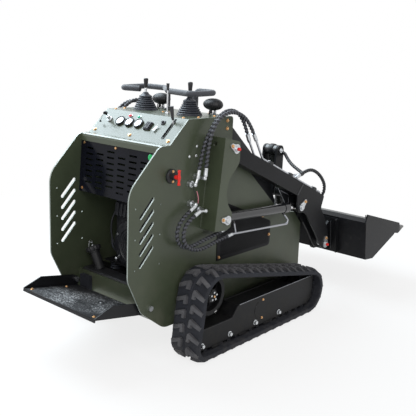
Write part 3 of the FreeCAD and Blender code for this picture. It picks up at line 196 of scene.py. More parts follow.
class Piece:
    """Collects surfaces laid out in millimetres and makes one mesh object of them."""

    def __init__(self):
        self.points, self.faces, self.finish, self.marks, self.count = [], [], [], [], 0

    def skin(self, surface, finish=0, closed=True, loop=False, ends=True, mark=0.0):
        """Quads over a grid of stations by points round it; the ends are flat caps, or meet in a loop."""
        m, n = surface.shape[:2]
        index = np.arange(m * n).reshape(m, n) + self.count
        first, last = (index, np.roll(index, -1, 0)) if loop else (index[:-1], index[1:])
        if closed:
            quads = np.stack([first, np.roll(first, -1, 1), np.roll(last, -1, 1), last], -1)
        else:
            quads = np.stack([first[:, :-1], first[:, 1:], last[:, 1:], last[:, :-1]], -1)
        groups = [quads.reshape(-1, 4)]
        if closed and ends and not loop:
            groups += [index[:1, ::-1], index[-1:]]
        self.faces += groups
        self.finish += [np.full(len(g), finish) for g in groups]
        self.points.append(surface.reshape(-1, 3))
        self.marks.append(np.broadcast_to(mark, (m, n)).reshape(-1))
        self.count += m * n

    def turn(self, profile, foot, way, sides=24, finish=0, squash=1.0):
        """A profile of (radius, height) turned about an axis."""
        self.skin(turned(profile, foot, way, sides, squash), finish)

    def plate(self, outline, foot, u, way, low, high, finish=0):
        """A flat outline carried along way."""
        self.skin(slab(outline, foot, u, way, low, high), finish)

    def tube(self, path, radius, sides=12, finish=0, loop=False, mark=0.0):
        """A ring carried along a path."""
        self.skin(carried(path, radius, sides), finish, loop=loop, mark=mark)

    def mirrored(self):
        """The same surfaces on the machine's other side, turned outwards again."""
        other = Piece()
        other.points = [p * (1, -1, 1) for p in self.points]
        other.faces = [f[:, ::-1] for f in self.faces]
        other.finish, other.marks, other.count = list(self.finish), list(self.marks), self.count
        return other

    def join(self, other):
        """Adds another piece's surfaces to this one's."""
        self.faces += [f + self.count for f in other.faces]
        self.points += other.points
        self.finish += other.finish
        self.marks += other.marks
        self.count += other.count

    def make(self, name, body, finishes, slot, angle=38.0):
        """One mesh object with the named finishes, riding on a body; edges above angle stay sharp."""
        mesh = bpy.data.meshes.new(name)
        points = np.concatenate(self.points) / 1000 + (REAR, 0, 0)
        corners = np.concatenate([f.reshape(-1) for f in self.faces])
        sizes = np.concatenate([np.full(len(f), f.shape[1]) for f in self.faces])
        mesh.vertices.add(len(points))
        mesh.vertices.foreach_set("co", points.reshape(-1))
        mesh.loops.add(len(corners))
        mesh.loops.foreach_set("vertex_index", corners.astype(np.int32))
        mesh.polygons.add(len(sizes))
        mesh.polygons.foreach_set("loop_start", (np.cumsum(sizes) - sizes).astype(np.int32))
        mesh.polygons.foreach_set("material_index", np.concatenate(self.finish).astype(np.int32))
        mesh.update(calc_edges=True)
        if mesh.validate():
            raise ValueError(name + " has a bad face")
        mark = mesh.attributes.new("mark", "FLOAT", "POINT")
        mark.data.foreach_set("value", np.concatenate(self.marks).astype(np.float32))
        mesh.shade_smooth()
        mesh.set_sharp_from_angle(angle=math.radians(angle))
        for finish in finishes.split():
            mesh.materials.append(finish_of(finish))
        made = bpy.data.objects.new(name, mesh)
        bpy.context.scene.collection.objects.link(made)
        if body:
            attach(made, body)
        return made


def both_sides(piece):
    """The piece with its mirror image added."""
    piece.join(piece.mirrored())
    return piece


def along_arm(s, off, y):
    """A point a distance s along the right arm from its pivot, and off above the pivot line."""
    c, d = math.cos(ARM_SLOPE), math.sin(ARM_SLOPE)
    return np.array([PIVOT[0] + s * c + off * d, y, PIVOT[1] - s * d + off * c])


ARM_WAY = np.array([math.cos(ARM_SLOPE), 0, -math.sin(ARM_SLOPE)])
ARM_UP = np.array([math.sin(ARM_SLOPE), 0, math.cos(ARM_SLOPE)])
PANEL_WAY = np.array([math.cos(PANEL_SLOPE), 0, math.sin(PANEL_SLOPE)])
PANEL_UP = np.array([-math.sin(PANEL_SLOPE), 0, math.cos(PANEL_SLOPE)])
UP = np.array([0.0, 0, 1])
RIGHT = np.array([0.0, -1, 0])
LEFT = np.array([0.0, 1, 0])
FORWARD = np.array([1.0, 0, 0])
BACK = np.array([-1.0, 0, 0])


def on_panel(s, y, lift=0.0):
    """A point a distance s up the control panel's face, and lift off it."""
    return np.array([PANEL_FOOT[0], y, PANEL_FOOT[1]]) + s * PANEL_WAY + lift * PANEL_UP


def bolt(piece, foot, way, across=13.0, finish=0, washer=True, rise=None):
    """A hexagon head with a chamfered crown, on a washer: a six-sided profile turned about its axis."""
    tall = across * 0.5 if rise is None else rise
    r = across / math.sqrt(3)
    if washer:
        piece.turn([(r * 1.28, 0), (r * 1.28, 1.0), (r * 1.2, 1.5), (r * 0.9, 1.5)], foot, way, 20, finish)
    piece.turn([(r, 0), (r, tall * 0.8), (r * 0.86, tall), (r * 0.3, tall)], foot, way, 6, finish)


def button(piece, foot, way, r=7.0, finish=0):
    """A round-headed screw: a quarter-circle dome with a dimple turned about its axis."""
    t = (np.linspace(0, 1, 6) * np.pi / 2)[1:-1]
    dome = np.stack([r * np.cos(t), 0.62 * r * np.sin(t)], 1)
    profile = np.concatenate([[(r, 0)], dome, [(r * 0.32, 0.6 * r), (r * 0.28, 0.36 * r)]])
    piece.turn(profile, foot, way, 18, finish)


# ---------------------------------------------------------------- finishes
class Value:
    """A node's socket; the operators used on it add Math nodes."""

    def __init__(self, nodes, socket):
        self.nodes, self.socket = nodes, socket

    def maths(self, operation, *values):
        return self.nodes.node("ShaderNodeMath", {"operation": operation}, dict(enumerate(values)))

    def __rsub__(self, other):
        return self.maths("SUBTRACT", other, self)

    def __abs__(self):
        return self.maths("ABSOLUTE", self)

    def ramp(self, low, high):
        """0 below low, 1 above high, smooth in between."""
        return self.nodes.node("ShaderNodeMapRange", {"interpolation_type": "SMOOTHSTEP"},
                               {"Value": self, "From Min": low, "From Max": high})


OPERATIONS = {"__add__": "ADD", "__radd__": "ADD", "__sub__": "SUBTRACT", "__mul__": "MULTIPLY",
              "__rmul__": "MULTIPLY", "__truediv__": "DIVIDE", "__mod__": "FLOORED_MODULO",
              "__lt__": "LESS_THAN", "__gt__": "GREATER_THAN", "least": "MINIMUM", "most": "MAXIMUM"}
for method, operation in OPERATIONS.items():
    setattr(Value, method, lambda self, other, operation=operation: self.maths(operation, self, other))


class Nodes:
    """A shader tree under construction."""

    def __init__(self, tree):
        self.tree = tree
        tree.nodes.clear()

    def node(self, kind, settings=None, inputs=None, output=0):
        """Adds a node of a type, with its settings first and then its sockets' values or links."""
        made = self.tree.nodes.new(kind)
        for name, value in (settings or {}).items():
            setattr(made, name, value)
        for name, value in (inputs or {}).items():
            if isinstance(value, Value):
                self.tree.links.new(value.socket, made.inputs[name])
            else:
                made.inputs[name].default_value = value
        return Value(self, made.outputs[output])

    def seen(self):
        """1 on the rays that show a surface as it is: camera, glossy and transmission rays."""
        seen = self.node("ShaderNodeLightPath", output="Is Camera Ray")
        for ray in ("Is Glossy Ray", "Is Transmission Ray"):
            seen = seen.most(self.node("ShaderNodeLightPath", output=ray))
        return seen

    def end(self, shader, kind="ShaderNodeOutputMaterial"):
        self.tree.links.new(shader.socket, self.tree.nodes.new(kind).inputs["Surface"])


class Finish(Nodes):
    """A material under construction, on the object's own coordinates."""

    def __init__(self, name):
        self.material = bpy.data.materials.new(name)
        self.material.use_nodes = True
        super().__init__(self.material.node_tree)
        self.place = self.node("ShaderNodeTexCoord", output="Object")

    def axis(self, name):
        return self.node("ShaderNodeSeparateXYZ", {}, {"Vector": self.place}, name)

    def from_rear(self):
        """X in metres from the side plates' rear edge."""
        return self.axis("X") - REAR

    def near_floor(self, low, high):
        """1 up to a low height, 0 above a high one."""
        return 1 - self.axis("Z").ramp(low, high)

    def stretched(self, x, y, z):
        return self.node("ShaderNodeMapping", {"vector_type": "POINT"},
                         {"Vector": self.place, "Scale": (x, y, z)})

    def noise(self, scale, detail=4.0, rough=0.55, place=None):
        return self.node("ShaderNodeTexNoise", {}, {"Vector": place or self.place, "Scale": scale,
                                                    "Detail": detail, "Roughness": rough})

    def cells(self, scale):
        return self.node("ShaderNodeTexVoronoi", {}, {"Vector": self.place, "Scale": scale}, "Distance")

    def blend(self, factor, a, b):
        """Colour a where the factor is 0 and b where it is 1."""
        a, b = (tuple(c) + (1.0,) if not isinstance(c, Value) else c for c in (a, b))
        return self.node("ShaderNodeMix", {"data_type": "RGBA"}, {0: factor, 6: a, 7: b}, 2)

    def mottle(self, base, low, high, cloud, start=0.3, stop=0.7):
        """The base colour, darker or paler by a cloud: base times low up to base times high."""
        return self.blend(cloud.ramp(start, stop), scaled(base, low), scaled(base, high))

    def bump(self, height, strength, distance):
        return self.node("ShaderNodeBump", {}, {"Height": height, "Strength": strength,
                                                "Distance": distance})

    def done(self, base, rough, bump=None, **constants):
        inputs = {"Base Color": base, "Roughness": rough}
        if bump:
            inputs["Normal"] = bump
        inputs.update({name.replace("_", " "): value for name, value in constants.items()})
        self.end(self.node("ShaderNodeBsdfPrincipled", {}, inputs))
        return self.material


def scaled(c, factor):
    """A colour times a factor, up to 1."""
    return tuple(min(1.0, v * factor) for v in c)


FINISHES = {}


def finish_of(name):
    """Makes each finish once and keeps it by name."""
    if name not in FINISHES:
        FINISHES[name] = RECIPES[name]()
    return FINISHES[name]


def colours():
    return bpy.context.scene.loader_colours


def body_paint(name="body_paint", coat=0.15, cut_edges=False):
    """Powder coat: orange-peel bump, cloudy tone, a film of dust low down and rubbed specks;
    the side plates' cut edges, which lie between their two faces, are painted paler: partly rubbed paint,
    partly a painted highlight."""
    f = Finish(name)
    cloud = f.noise(3.2, 5.0)
    dust = f.near_floor(0.16, 0.62) * f.noise(9.0, 6.0, 0.65).ramp(0.34, 0.75)
    specks = f.noise(70.0, 6.0, 0.7).ramp(0.66, 0.74)
    tone = f.mottle(colours().body, 0.86, 1.14, cloud)
    tone = f.blend(dust * 0.30, tone, (0.15, 0.14, 0.105))
    tone = f.blend(specks * 0.20, tone, (0.16, 0.17, 0.12))
    if cut_edges:
        y = abs(f.axis("Y"))
        # painted highlight with some rubbed paint: the plates' cut edges are painted pale green-grey
        rim = (y - PLATE_IN / 1000).ramp(0.0002, 0.0004) * (PLATE_OUT / 1000 - y).ramp(0.0002, 0.0004)
        tone = f.blend(rim * 0.85, tone, (0.36, 0.40, 0.37))
    peel = f.noise(420.0, 2.0) + 0.6 * f.noise(90.0, 2.0)
    return f.done(tone, 0.36 + 0.10 * cloud + 0.22 * dust, f.bump(peel, 0.10, 0.0006),
                  Specular_IOR_Level=0.4, Coat_Weight=coat, Coat_Roughness=0.22)


def black_paint(name="black_paint", tint=(1.0, 1.0, 1.0), rough=0.34, coat=0.04, shine=0.13):
    """Satin black powder coat with fine draw lines along the steel, dust and small chips."""
    f = Finish(name)
    lines = f.noise(1.0, 3.0, 0.6, f.stretched(9.0, 240.0, 240.0))
    cloud = f.noise(5.0, 5.0)
    dust = f.near_floor(0.05, 0.45) * f.noise(14.0, 6.0, 0.65).ramp(0.36, 0.78)
    chips = f.noise(120.0, 4.0, 0.6).ramp(0.71, 0.75)
    tone = f.mottle([c * t for c, t in zip(colours().black, tint)], 0.8, 1.3, cloud)
    tone = f.blend(dust * 0.25, tone, (0.07, 0.065, 0.055))
    tone = f.blend(chips * 0.30, tone, (0.09, 0.09, 0.09))
    height = f.noise(380.0, 2.0) + 0.5 * lines
    return f.done(tone, rough + 0.12 * cloud + 0.20 * dust, f.bump(height, 0.10, 0.0006),
                  Specular_IOR_Level=shine, Coat_Weight=coat, Coat_Roughness=0.2)


def cylinder_paint(name, base, way, reach):
    """Glossy black cylinder; what lies further than reach from its axis in XZ is a bare steel line."""
    f = Finish(name)
    off = abs((f.from_rear() - base[0] / 1000) * way[1] - (f.axis("Z") - base[1] / 1000) * way[0])
    line = off.ramp(reach, reach + 0.001)
    cloud = f.noise(30.0, 5.0)
    tone = f.blend(line, f.mottle(colours().black, 1.1, 2.0, cloud), (0.36, 0.37, 0.40))
    return f.done(tone, 0.20 + 0.08 * cloud + 0.12 * line, f.bump(f.noise(380.0, 2.0), 0.06, 0.0005),
                  Metallic=line * 0.9, Coat_Weight=0.4, Coat_Roughness=0.08)


def mesh_cover():
    """Black cover with a window of expanded mesh: crossed diagonals cut diamonds inside a border, painted
    near-black as the shade behind the mesh.
    """
    f = Finish("mesh_cover")
    x, z = f.from_rear(), f.axis("Z")
    edge = (x - 0.648).least(1.076 - x).least(z - 0.440)
    edge = edge.least((0.7185 - z) - (x - 0.707).most(0.0) * 0.405)
    hole = edge.ramp(0.0, 0.002)
    for line in ((x * 1.7 + z) / 0.0105, (x * 1.7 - z) / 0.0105):
        hole = hole * (abs(line % 1.0 - 0.5) < 0.31)
    tone = f.mottle(colours().black, 0.8, 1.7, f.noise(12.0, 5.0), 0.35)
    # painted shade: the mesh's openings are near-black for the dark behind them
    tone = f.blend(hole, tone, (0.0015, 0.0015, 0.002))
    return f.done(tone, 0.36 + 0.5 * hole, f.bump(1 - hole, 0.8, 0.0015), Specular_IOR_Level=0.11)


def grip_floor():
    """Black steel with a glued grit sheet: coarse grains, trodden grey with dust in the middle, brightest in
    spots of painted glint.
    """
    f = Finish("grip_floor")
    x, y = f.from_rear(), f.axis("Y")
    sheet = (0.262 - abs(y)).ramp(0.0, 0.004) * (x + 0.170).ramp(0.0, 0.004) * (0.150 - x).ramp(0.0, 0.004)
    grit = (0.34 - f.cells(420.0)).ramp(0.0, 0.2)
    trodden = 1 - (abs(y + x * 0.3) * 2.6 + abs(x + 0.02) * 3.2).ramp(0.15, 1.15)
    dust = f.noise(7.0, 7.0, 0.7).ramp(0.36, 0.60) * trodden
    sparkle = f.noise(120.0, 3.0, 0.65).ramp(0.52, 0.60)
    fine = f.noise(420.0, 2.0).ramp(0.54, 0.66)
    tone = f.blend(f.noise(30.0, 4.0), scaled(colours().black, 0.9), scaled(colours().black, 1.6))
    tone = f.blend(sheet * fine * 0.55, tone, (0.080, 0.082, 0.092))
    # pale trodden dust, brightest in the sparkle spots, which are painted glints
    tone = f.blend(sheet * dust * (0.10 + 0.90 * sparkle), tone, (0.60, 0.61, 0.63))
    return f.done(tone, 0.40 + 0.36 * sheet, f.bump(grit * sheet + 0.05 * f.noise(380.0), 0.55, 0.0012),
                  Specular_IOR_Level=0.25)


def rubber(name="rubber", scuffed=False):
    """Moulded rubber: matt, mottled, with fine pitting; the lugs' tops are scuffed paler."""
    f = Finish(name)
    base = colours().lug if scuffed else colours().rubber
    cloud = f.noise(16.0, 6.0, 0.65)
    fine = f.noise(260.0, 4.0, 0.6)
    tone = f.mottle(base, 0.78, 1.25, cloud)
    tone = f.blend(fine.ramp(0.55, 0.75) * 0.35, tone, scaled(base, 1.9))
    tone = f.blend(f.near_floor(0.0, 0.25) * cloud.ramp(0.4, 0.7) * 0.25, tone, (0.10, 0.09, 0.075))
    return f.done(tone, 0.60 + 0.25 * cloud, f.bump(fine + cloud, 0.35, 0.0012), Specular_IOR_Level=0.3)


def grained(name, dark, pale, cloud, ramp=(0.3, 0.7), rough=(0.4, 0.14), bump=(500.0, 3.0, 0.16, 0.0005),
            **constants):
    """A plain surface: its tone goes from dark to pale and its roughness from one value by another with
    a noise of cloud = (scale, detail), over a bump of (scale, detail, strength, distance)."""
    f = Finish(name)
    shade = f.noise(*cloud)
    return f.done(f.blend(shade.ramp(*ramp), dark, pale), rough[0] + rough[1] * shade,
                  f.bump(f.noise(*bump[:2]), *bump[2:]), **constants)


def zinc(name="zinc", tint=None, rough=0.26, grain=60.0):
    """Plated steel: mottled, faintly brushed metal."""
    tint = tint or colours().zinc
    return grained(name, scaled(tint, 0.80), scaled(tint, 1.12), (grain, 5.0, 0.6), (0.3, 0.72),
                   (rough, 0.22), (900.0, 2.0, 0.12, 0.0003), Metallic=1.0)


def chrome():
    """Hard chrome: mirror with faint polishing marks and an oily film."""
    return grained("chrome", (0.80, 0.81, 0.83), (0.70, 0.70, 0.70), (24.0, 4.0), (0.4, 0.7), (0.06, 0.12),
                   (700.0, 2.0, 0.03, 0.0003), Metallic=1.0)


def plastic(name="plastic", tint=(0.016, 0.016, 0.018), rough=0.40):
    """Moulded plastic with a fine spark-eroded grain."""
    return grained(name, scaled(tint, 0.85), scaled(tint, 1.2), (20.0, 4.0), rough=(rough, 0.14),
                   Specular_IOR_Level=0.35)


def jewel(name, tint):
    """Translucent lamp cap with a cut ribbed face."""
    return grained(name, tint, scaled(tint, 1.5), (500.0, 2.0), rough=(0.10, 0.1),
                   bump=(500.0, 2.0, 0.2, 0.0006), Coat_Weight=0.8, Coat_Roughness=0.04)


def paper():
    """Blank key tag of creased white plastic."""
    return grained("paper", (0.62, 0.64, 0.63), (0.82, 0.84, 0.83), (90.0, 4.0), (0.35, 0.7), (0.4, 0.2),
                   (90.0, 4.0, 0.3, 0.0008))


def foam():
    """Closed-cell foam sleeve: tiny pits, soft sheen."""
    f = Finish("foam")
    pits = f.cells(650.0)
    cloud = f.noise(26.0, 5.0)
    tone = f.mottle(colours().foam, 0.8, 1.25, cloud)
    tone = f.blend(pits.ramp(0.2, 0.6) * 0.4, tone, scaled(colours().foam, 1.7))
    return f.done(tone, 0.62 + 0.2 * cloud, f.bump(pits, 0.35, 0.0008), Sheen_Weight=0.35,
                  Sheen_Roughness=0.4)


def hose_wrap(name="hose_wrap", share=1.0):
    """Spiral plastic guard with painted shade darkening its grooves, and crowns paler in patches from rubbed
    wear and a painted highlight.
    """
    f = Finish(name)
    base = scaled(colours().wrap, share)
    crown = f.node("ShaderNodeAttribute", {"attribute_name": "mark"}, output="Fac")
    cloud = f.noise(60.0, 5.0)
    # painted shade: the grooves between the crowns are darkened to 0.14 of the wrap's colour
    tone = f.blend(crown.ramp(0.25, 0.9), scaled(base, 0.14), base)
    # crowns paler in cloudy patches: rubbed wear with a painted highlight
    tone = f.blend(cloud.ramp(0.45, 0.7) * 0.4 * crown, tone, scaled(base, 2.1))
    return f.done(tone, 0.34 + 0.3 * cloud, f.bump(f.noise(400.0), 0.15, 0.0006))


def engine_casting():
    """Black-painted casting and grained plastic covers, dusty."""
    f = Finish("engine_casting")
    dust = f.noise(24.0, 6.0, 0.65).ramp(0.45, 0.75)
    tone = f.blend(dust * 0.6, (0.015, 0.016, 0.020), (0.042, 0.042, 0.044))
    return f.done(tone, 0.38 + 0.3 * dust, f.bump(f.noise(220.0, 5.0, 0.7), 0.4, 0.0015),
                  Specular_IOR_Level=0.35)


def dial():
    """White enamel dial, a little stained with age."""
    f = Finish("dial")
    tone = f.blend(f.noise(80.0, 4.0).ramp(0.4, 0.8), (0.78, 0.80, 0.82), (0.66, 0.68, 0.70))
    return f.done(tone, 0.14 + 0.1 * f.noise(200.0), Coat_Weight=0.8, Coat_Roughness=0.03)


def lens():
    """Lamp glass: fluted reflector seen through it, painted as bright and dark upright bars of painted
    reflection.
    """
    f = Finish("lens")
    bars = abs((f.axis("Y") / 0.006) % 1.0 - 0.5)
    # painted reflection: the fluted reflector's bright and dark bars
    tone = f.blend(bars.ramp(0.1, 0.4), (0.30, 0.31, 0.33), (0.74, 0.76, 0.78))
    return f.done(tone, 0.05 + 0.08 * bars, f.bump(bars, 0.4, 0.001), Metallic=0.6, Coat_Weight=1.0,
                  Coat_Roughness=0.02)


def weld(name, base, low, high, rough):
    """Weld bead under paint: stacked ripples."""
    f = Finish(name)
    ripple = f.cells(260.0)
    tone = f.mottle(base, low, high, ripple, 0.1, 0.6)
    return f.done(tone, rough[0] + rough[1] * ripple, f.bump(ripple, 0.6, 0.0015), Coat_Weight=0.3)


def bucket_steel():
    """Black-painted bucket: scraped along the lip to bare steel, a seam across each end plate."""
    f = Finish("bucket_steel")
    x = f.from_rear()
    cloud = f.noise(6.0, 6.0, 0.6)
    scrape = f.noise(3.0, 6.0, 0.7, f.stretched(60.0, 3.0, 60.0)).ramp(0.42, 0.68)
    lip = (x - 2.225).ramp(0.0, 0.05) * (0.35 + 0.65 * scrape)
    across = abs((f.axis("Z") - 0.533) + (x - 1.775) * 0.44)
    seam = (abs(f.axis("Y")) - 0.556).ramp(0.0, 0.002) * (1 - across.ramp(0.0006, 0.0026))
    tone = f.mottle(colours().black, 0.9, 1.6, cloud)
    tone = f.blend(seam * 0.85, tone, (0.003, 0.003, 0.003))
    tone = f.blend(lip * 0.85, tone, (0.42, 0.41, 0.40))
    tone = f.blend(f.noise(30.0, 6.0, 0.7).ramp(0.5, 0.8) * 0.12, tone, (0.12, 0.11, 0.095))
    height = f.noise(300.0, 3.0) + 0.5 * scrape - 2.0 * seam
    return f.done(tone, 0.34 + 0.14 * cloud - 0.06 * lip, f.bump(height, 0.14, 0.0008),
                  Specular_IOR_Level=0.17, Metallic=lip * 0.9)


def lever():
    """Bright stems with black grips above a height; both grained."""
    f = Finish("lever")
    z = f.axis("Z")
    grip = (z - 1.1722).ramp(0.0, 0.001) * (f.from_rear() < 0.4)
    grip = grip.most((z - 1.299).ramp(0.0, 0.001))
    grain = f.noise(300.0, 3.0)
    tone = f.blend(grip, (0.60, 0.61, 0.63), (0.018, 0.018, 0.021))
    return f.done(tone, 0.26 + 0.16 * grip + 0.1 * grain, f.bump(grain, 0.12, 0.0005), Metallic=1 - grip)


RECIPES = {
    "body": body_paint,
    "panel": lambda: body_paint("panel_paint", 0.45),
    "side": lambda: body_paint("side_paint", 0.15, True),
    "black": black_paint,
    "gloss": lambda: black_paint("black_gloss", (0.6, 0.65, 0.95), 0.08, 0.05, 0.11),
    "steel_black": lambda: black_paint("black_steel", (1.2, 1.2, 1.2), 0.30, 0.10, 0.2),
    "lift": lambda: cylinder_paint("lift_cylinder", LIFT_BASE, (0.99838, -0.05689), 0.037),
    "tilt": lambda: cylinder_paint("tilt_cylinder", TILT_BASE, (0.31969, -0.94752), 0.038),
    "mesh": mesh_cover,
    "grip": grip_floor,
    "rubber": rubber,
    "lug": lambda: rubber("lug_rubber", True),
    "boot": lambda: plastic("boot_rubber", (0.030, 0.033, 0.043), 0.30),
    "zinc": zinc,
    "bolt": lambda: zinc("yellow_zinc", colours().bolt, 0.24, 300.0),
    "line": lambda: zinc("steel_line", (0.50, 0.51, 0.54), 0.30),
    # pale steel for strips that stand for the highlight along edges: a painted highlight
    "edge": lambda: zinc("painted_highlight_edge", (0.36, 0.37, 0.40), 0.34),
    "chrome": chrome,
    "plastic": plastic,
    "panel_plastic": lambda: plastic("panel_plastic", (0.030, 0.030, 0.036), 0.36),
    "signal": lambda: plastic("signal_red", colours().signal, 0.30),
    "green_cap": lambda: plastic("green_cap", (0.020, 0.42, 0.12), 0.3),
    "pink": lambda: plastic("pink_tie", (0.60, 0.22, 0.27), 0.4),
    "foam": foam,
    "wrap": hose_wrap,
    "dark_wrap": lambda: hose_wrap("dark_hose_wrap", 0.3),
    "engine": engine_casting,
    "dial": dial,
    "red_lamp": lambda: jewel("red_lamp", (0.75, 0.03, 0.05)),
    "green_lamp": lambda: jewel("green_lamp", (0.02, 0.48, 0.28)),
    "lens": lens,
    "paper": paper,
    "weld": lambda: weld("weld", colours().black, 1.4, 3.0, (0.30, 0.3)),
    "green_weld": lambda: weld("green_weld", colours().body, 0.8, 1.3, (0.34, 0.2)),
    "bucket": bucket_steel,
    "lever": lever,
}

NODE_FINISHES = {
    "side": "side_plate_left side_plate_right",
    "body": "nose_cover lift_tower_left lift_tower_right belly_pan",
    "panel": "control_deck control_panel",
    "steel_black": "engine_hood",
    "black": "loader_arm_left loader_arm_right arm_crossmember attach_plate track_frame_left "
             "track_frame_right drive_sprocket_left drive_sprocket_right track_wheels_left "
             "track_wheels_right engine_cradle",
    "lift": "lift_barrel_left lift_barrel_right",
    "tilt": "tilt_barrel",
    "gloss": "rear_guard",
    "bucket": "bucket",
    "mesh": "side_grille_left side_grille_right",
    "grip": "platform",
    "rubber": "platform_bumper",
    "zinc": "pivot_pins arm_pins tilt_base_pin tilt_eye_caps platform_bolts hose_fittings",
    "line": "arm_pipes",
    "chrome": "lift_rod_left lift_rod_right tilt_rod",
    "plastic": "fuel_tank fuel_filler",
    "foam": "handlebar",
    "engine": "engine",
    "lever": "hand_levers",
}


# ---------------------------------------------------------------- operators
class Step:
    """What every step of the build shares."""
    bl_options = {"REGISTER", "UNDO"}


CAMERA_PLACE = (-3.0264, -2.456, 1.517)
CAMERA_YAW, CAMERA_PITCH, CAMERA_ROLL = (math.radians(a) for a in (40.79, 13.48, 2.38))
CAMERA_LENS = 57.92
FLOOR_HALF = 9.0
AIM = np.array([0.0, 0.0, 0.7])


def stood(name, data, right, up, back, place):
    """An object in the scene whose own axes point along three directions."""
    matrix = np.eye(4)
    matrix[:3] = np.stack([right, up, back, place], 1)
    made = bpy.data.objects.new(name, data)
    made.matrix_world = Matrix(matrix.tolist())
    bpy.context.scene.collection.objects.link(made)
    return made


class LOADER_OT_stage(Step, bpy.types.Operator):
    """Adds the camera, the pale floor, the softboxes and the plain sky"""
    bl_idname = "loader.stage"
    bl_label = "Stage"

    def execute(self, context):
        stage = context.scene.loader_stage
        ahead = np.array([math.cos(CAMERA_YAW) * math.cos(CAMERA_PITCH),
                          math.sin(CAMERA_YAW) * math.cos(CAMERA_PITCH), -math.sin(CAMERA_PITCH)])
        level = np.array([math.sin(CAMERA_YAW), -math.cos(CAMERA_YAW), 0.0])
        over = np.cross(level, ahead)
        across = math.cos(CAMERA_ROLL) * level + math.sin(CAMERA_ROLL) * over
        upright = -math.sin(CAMERA_ROLL) * level + math.cos(CAMERA_ROLL) * over
        data = bpy.data.cameras.new("camera")
        data.sensor_width = 36.0
        data.lens = CAMERA_LENS
        context.scene.camera = stood("camera", data, across, upright, -ahead, CAMERA_PLACE)

        mesh = bpy.data.meshes.new("floor")
        corners = [(x * FLOOR_HALF, y * FLOOR_HALF, 0) for x, y in ((-1, -1), (1, -1), (1, 1), (-1, 1))]
        mesh.from_pydata(corners, [], [(0, 1, 2, 3)])
        floor = bpy.data.objects.new("floor", mesh)
        context.scene.collection.objects.link(floor)
        # Seen directly the floor is mostly white light, and all white far out.
        f = Finish("floor")
        away = f.node("ShaderNodeVectorMath", {"operation": "LENGTH"}, {0: f.place}, "Value")
        tone = f.blend(f.noise(2.0, 3.0), scaled(stage.floor, 0.985), tuple(stage.floor))
        soft = f.node("ShaderNodeBsdfDiffuse", {}, {"Color": tone})
        white = f.node("ShaderNodeEmission", {}, {"Color": (1, 1, 1, 1), "Strength": 1.0})
        share = f.seen() * (0.80 + 0.20 * away.ramp(1.1, 3.4))
        f.end(f.node("ShaderNodeMixShader", {}, {0: share, 1: soft, 2: white}))
        mesh.materials.append(f.material)

        world = bpy.data.worlds.new("studio")
        world.use_nodes = True
        context.scene.world = world
        w = Nodes(world.node_tree)
        light = w.node("ShaderNodeMapRange", {}, {"Value": w.seen(), "To Min": stage.sky, "To Max": 1.0})
        sky = w.node("ShaderNodeBackground", {}, {"Color": (1.0, 1.0, 1.0, 1.0), "Strength": light})
        w.end(sky, "ShaderNodeOutputWorld")

        boxes = [("key_softbox", (-0.08, 0.64, 0.77), 3.4, 3.8, stage.key, (0.79, 0.92, 1.0)),
                 ("side_softbox", (-0.72, -0.50, 0.52), 4.2, 2.0, stage.side, (1.0, 0.99, 0.97))]
        for name, way, away, size, power, tint in boxes:
            light = bpy.data.lights.new(name, "AREA")
            light.shape = "DISK"
            light.size = size
            light.energy = power
            light.color = tint
            z = unit(way)
            stood(name, light, *square_to(z), z, z * away + AIM)
        return {"FINISHED"}


# The hoses' routes on the machine's right, from the fitting on the body to the far fitting.
TOOL_ROUTES = [
    [(414, -338, 940), (427, -338, 1002), (452, -338, 1072), (495, -338, 1139), (550, -338, 1196),
     (622, -338, 1222), (695, -338, 1205), (748, -338, 1152), (778, -338, 1092)],
    [(443, -358, 950), (448, -358, 1012), (461, -358, 1086), (494, -358, 1156), (556, -358, 1203),
     (633, -358, 1213), (707, -358, 1192), (768, -358, 1147), (806, -358, 1092)],
]
CYLINDER_ROUTES = [
    [(359, -338, 744), (311, -338, 717), (276, -338, 674), (272, -338, 618), (306, -338, 573),
     (363, -338, 560), (423, -338, 568), (482, -338, 580), (541, -338, 588), (596, -338, 598)],
    [(372, -358, 722), (326, -358, 701), (296, -358, 658), (300, -358, 604), (338, -358, 563),
     (394, -358, 544), (455, -358, 544), (515, -358, 556), (573, -358, 566), (630, -358, 572)],
]
TILT_ROUTES = [
    [(1282, -338, 815), (1345, -334, 812), (1385, -292, 815), (1412, -240, 825), (1440, -187, 838),
     (1472, -136, 856), (1510, -90, 873), (1546, -52, 884), (1557, -22, 887)],
    [(1268, -358, 820), (1322, -358, 836), (1390, -357, 840), (1459, -355, 816), (1522, -353, 774),
     (1572, -349, 718), (1592, -330, 655), (1589, -284, 617), (1583, -222, 603), (1584, -160, 603),
     (1587, -104, 607), (1589, -56, 611)],
]


def smooth_line(route, sign):
    """Points read from the route's own NURBS spline, in millimetres."""
    curve = bpy.data.curves.new("route", "CURVE")
    curve.dimensions = "3D"
    curve.resolution_u = 24
    spline = curve.splines.new("NURBS")
    spline.points.add(len(route) - 1)
    for point, (x, y, z) in zip(spline.points, route):
        point.co = (x / 1000 + REAR, sign * y / 1000, z / 1000, 1.0)
    spline.order_u = 3
    spline.use_endpoint_u = True
    holder = bpy.data.objects.new("route", curve)
    bpy.context.scene.collection.objects.link(holder)
    bpy.context.view_layer.update()
    mesh = bpy.data.meshes.new_from_object(holder)
    points = np.zeros(len(mesh.vertices) * 3)
    mesh.vertices.foreach_get("co", points)
    bpy.data.objects.remove(holder)
    bpy.data.curves.remove(curve)
    bpy.data.meshes.remove(mesh)
    return (points.reshape(-1, 3) - (REAR, 0, 0)) * 1000


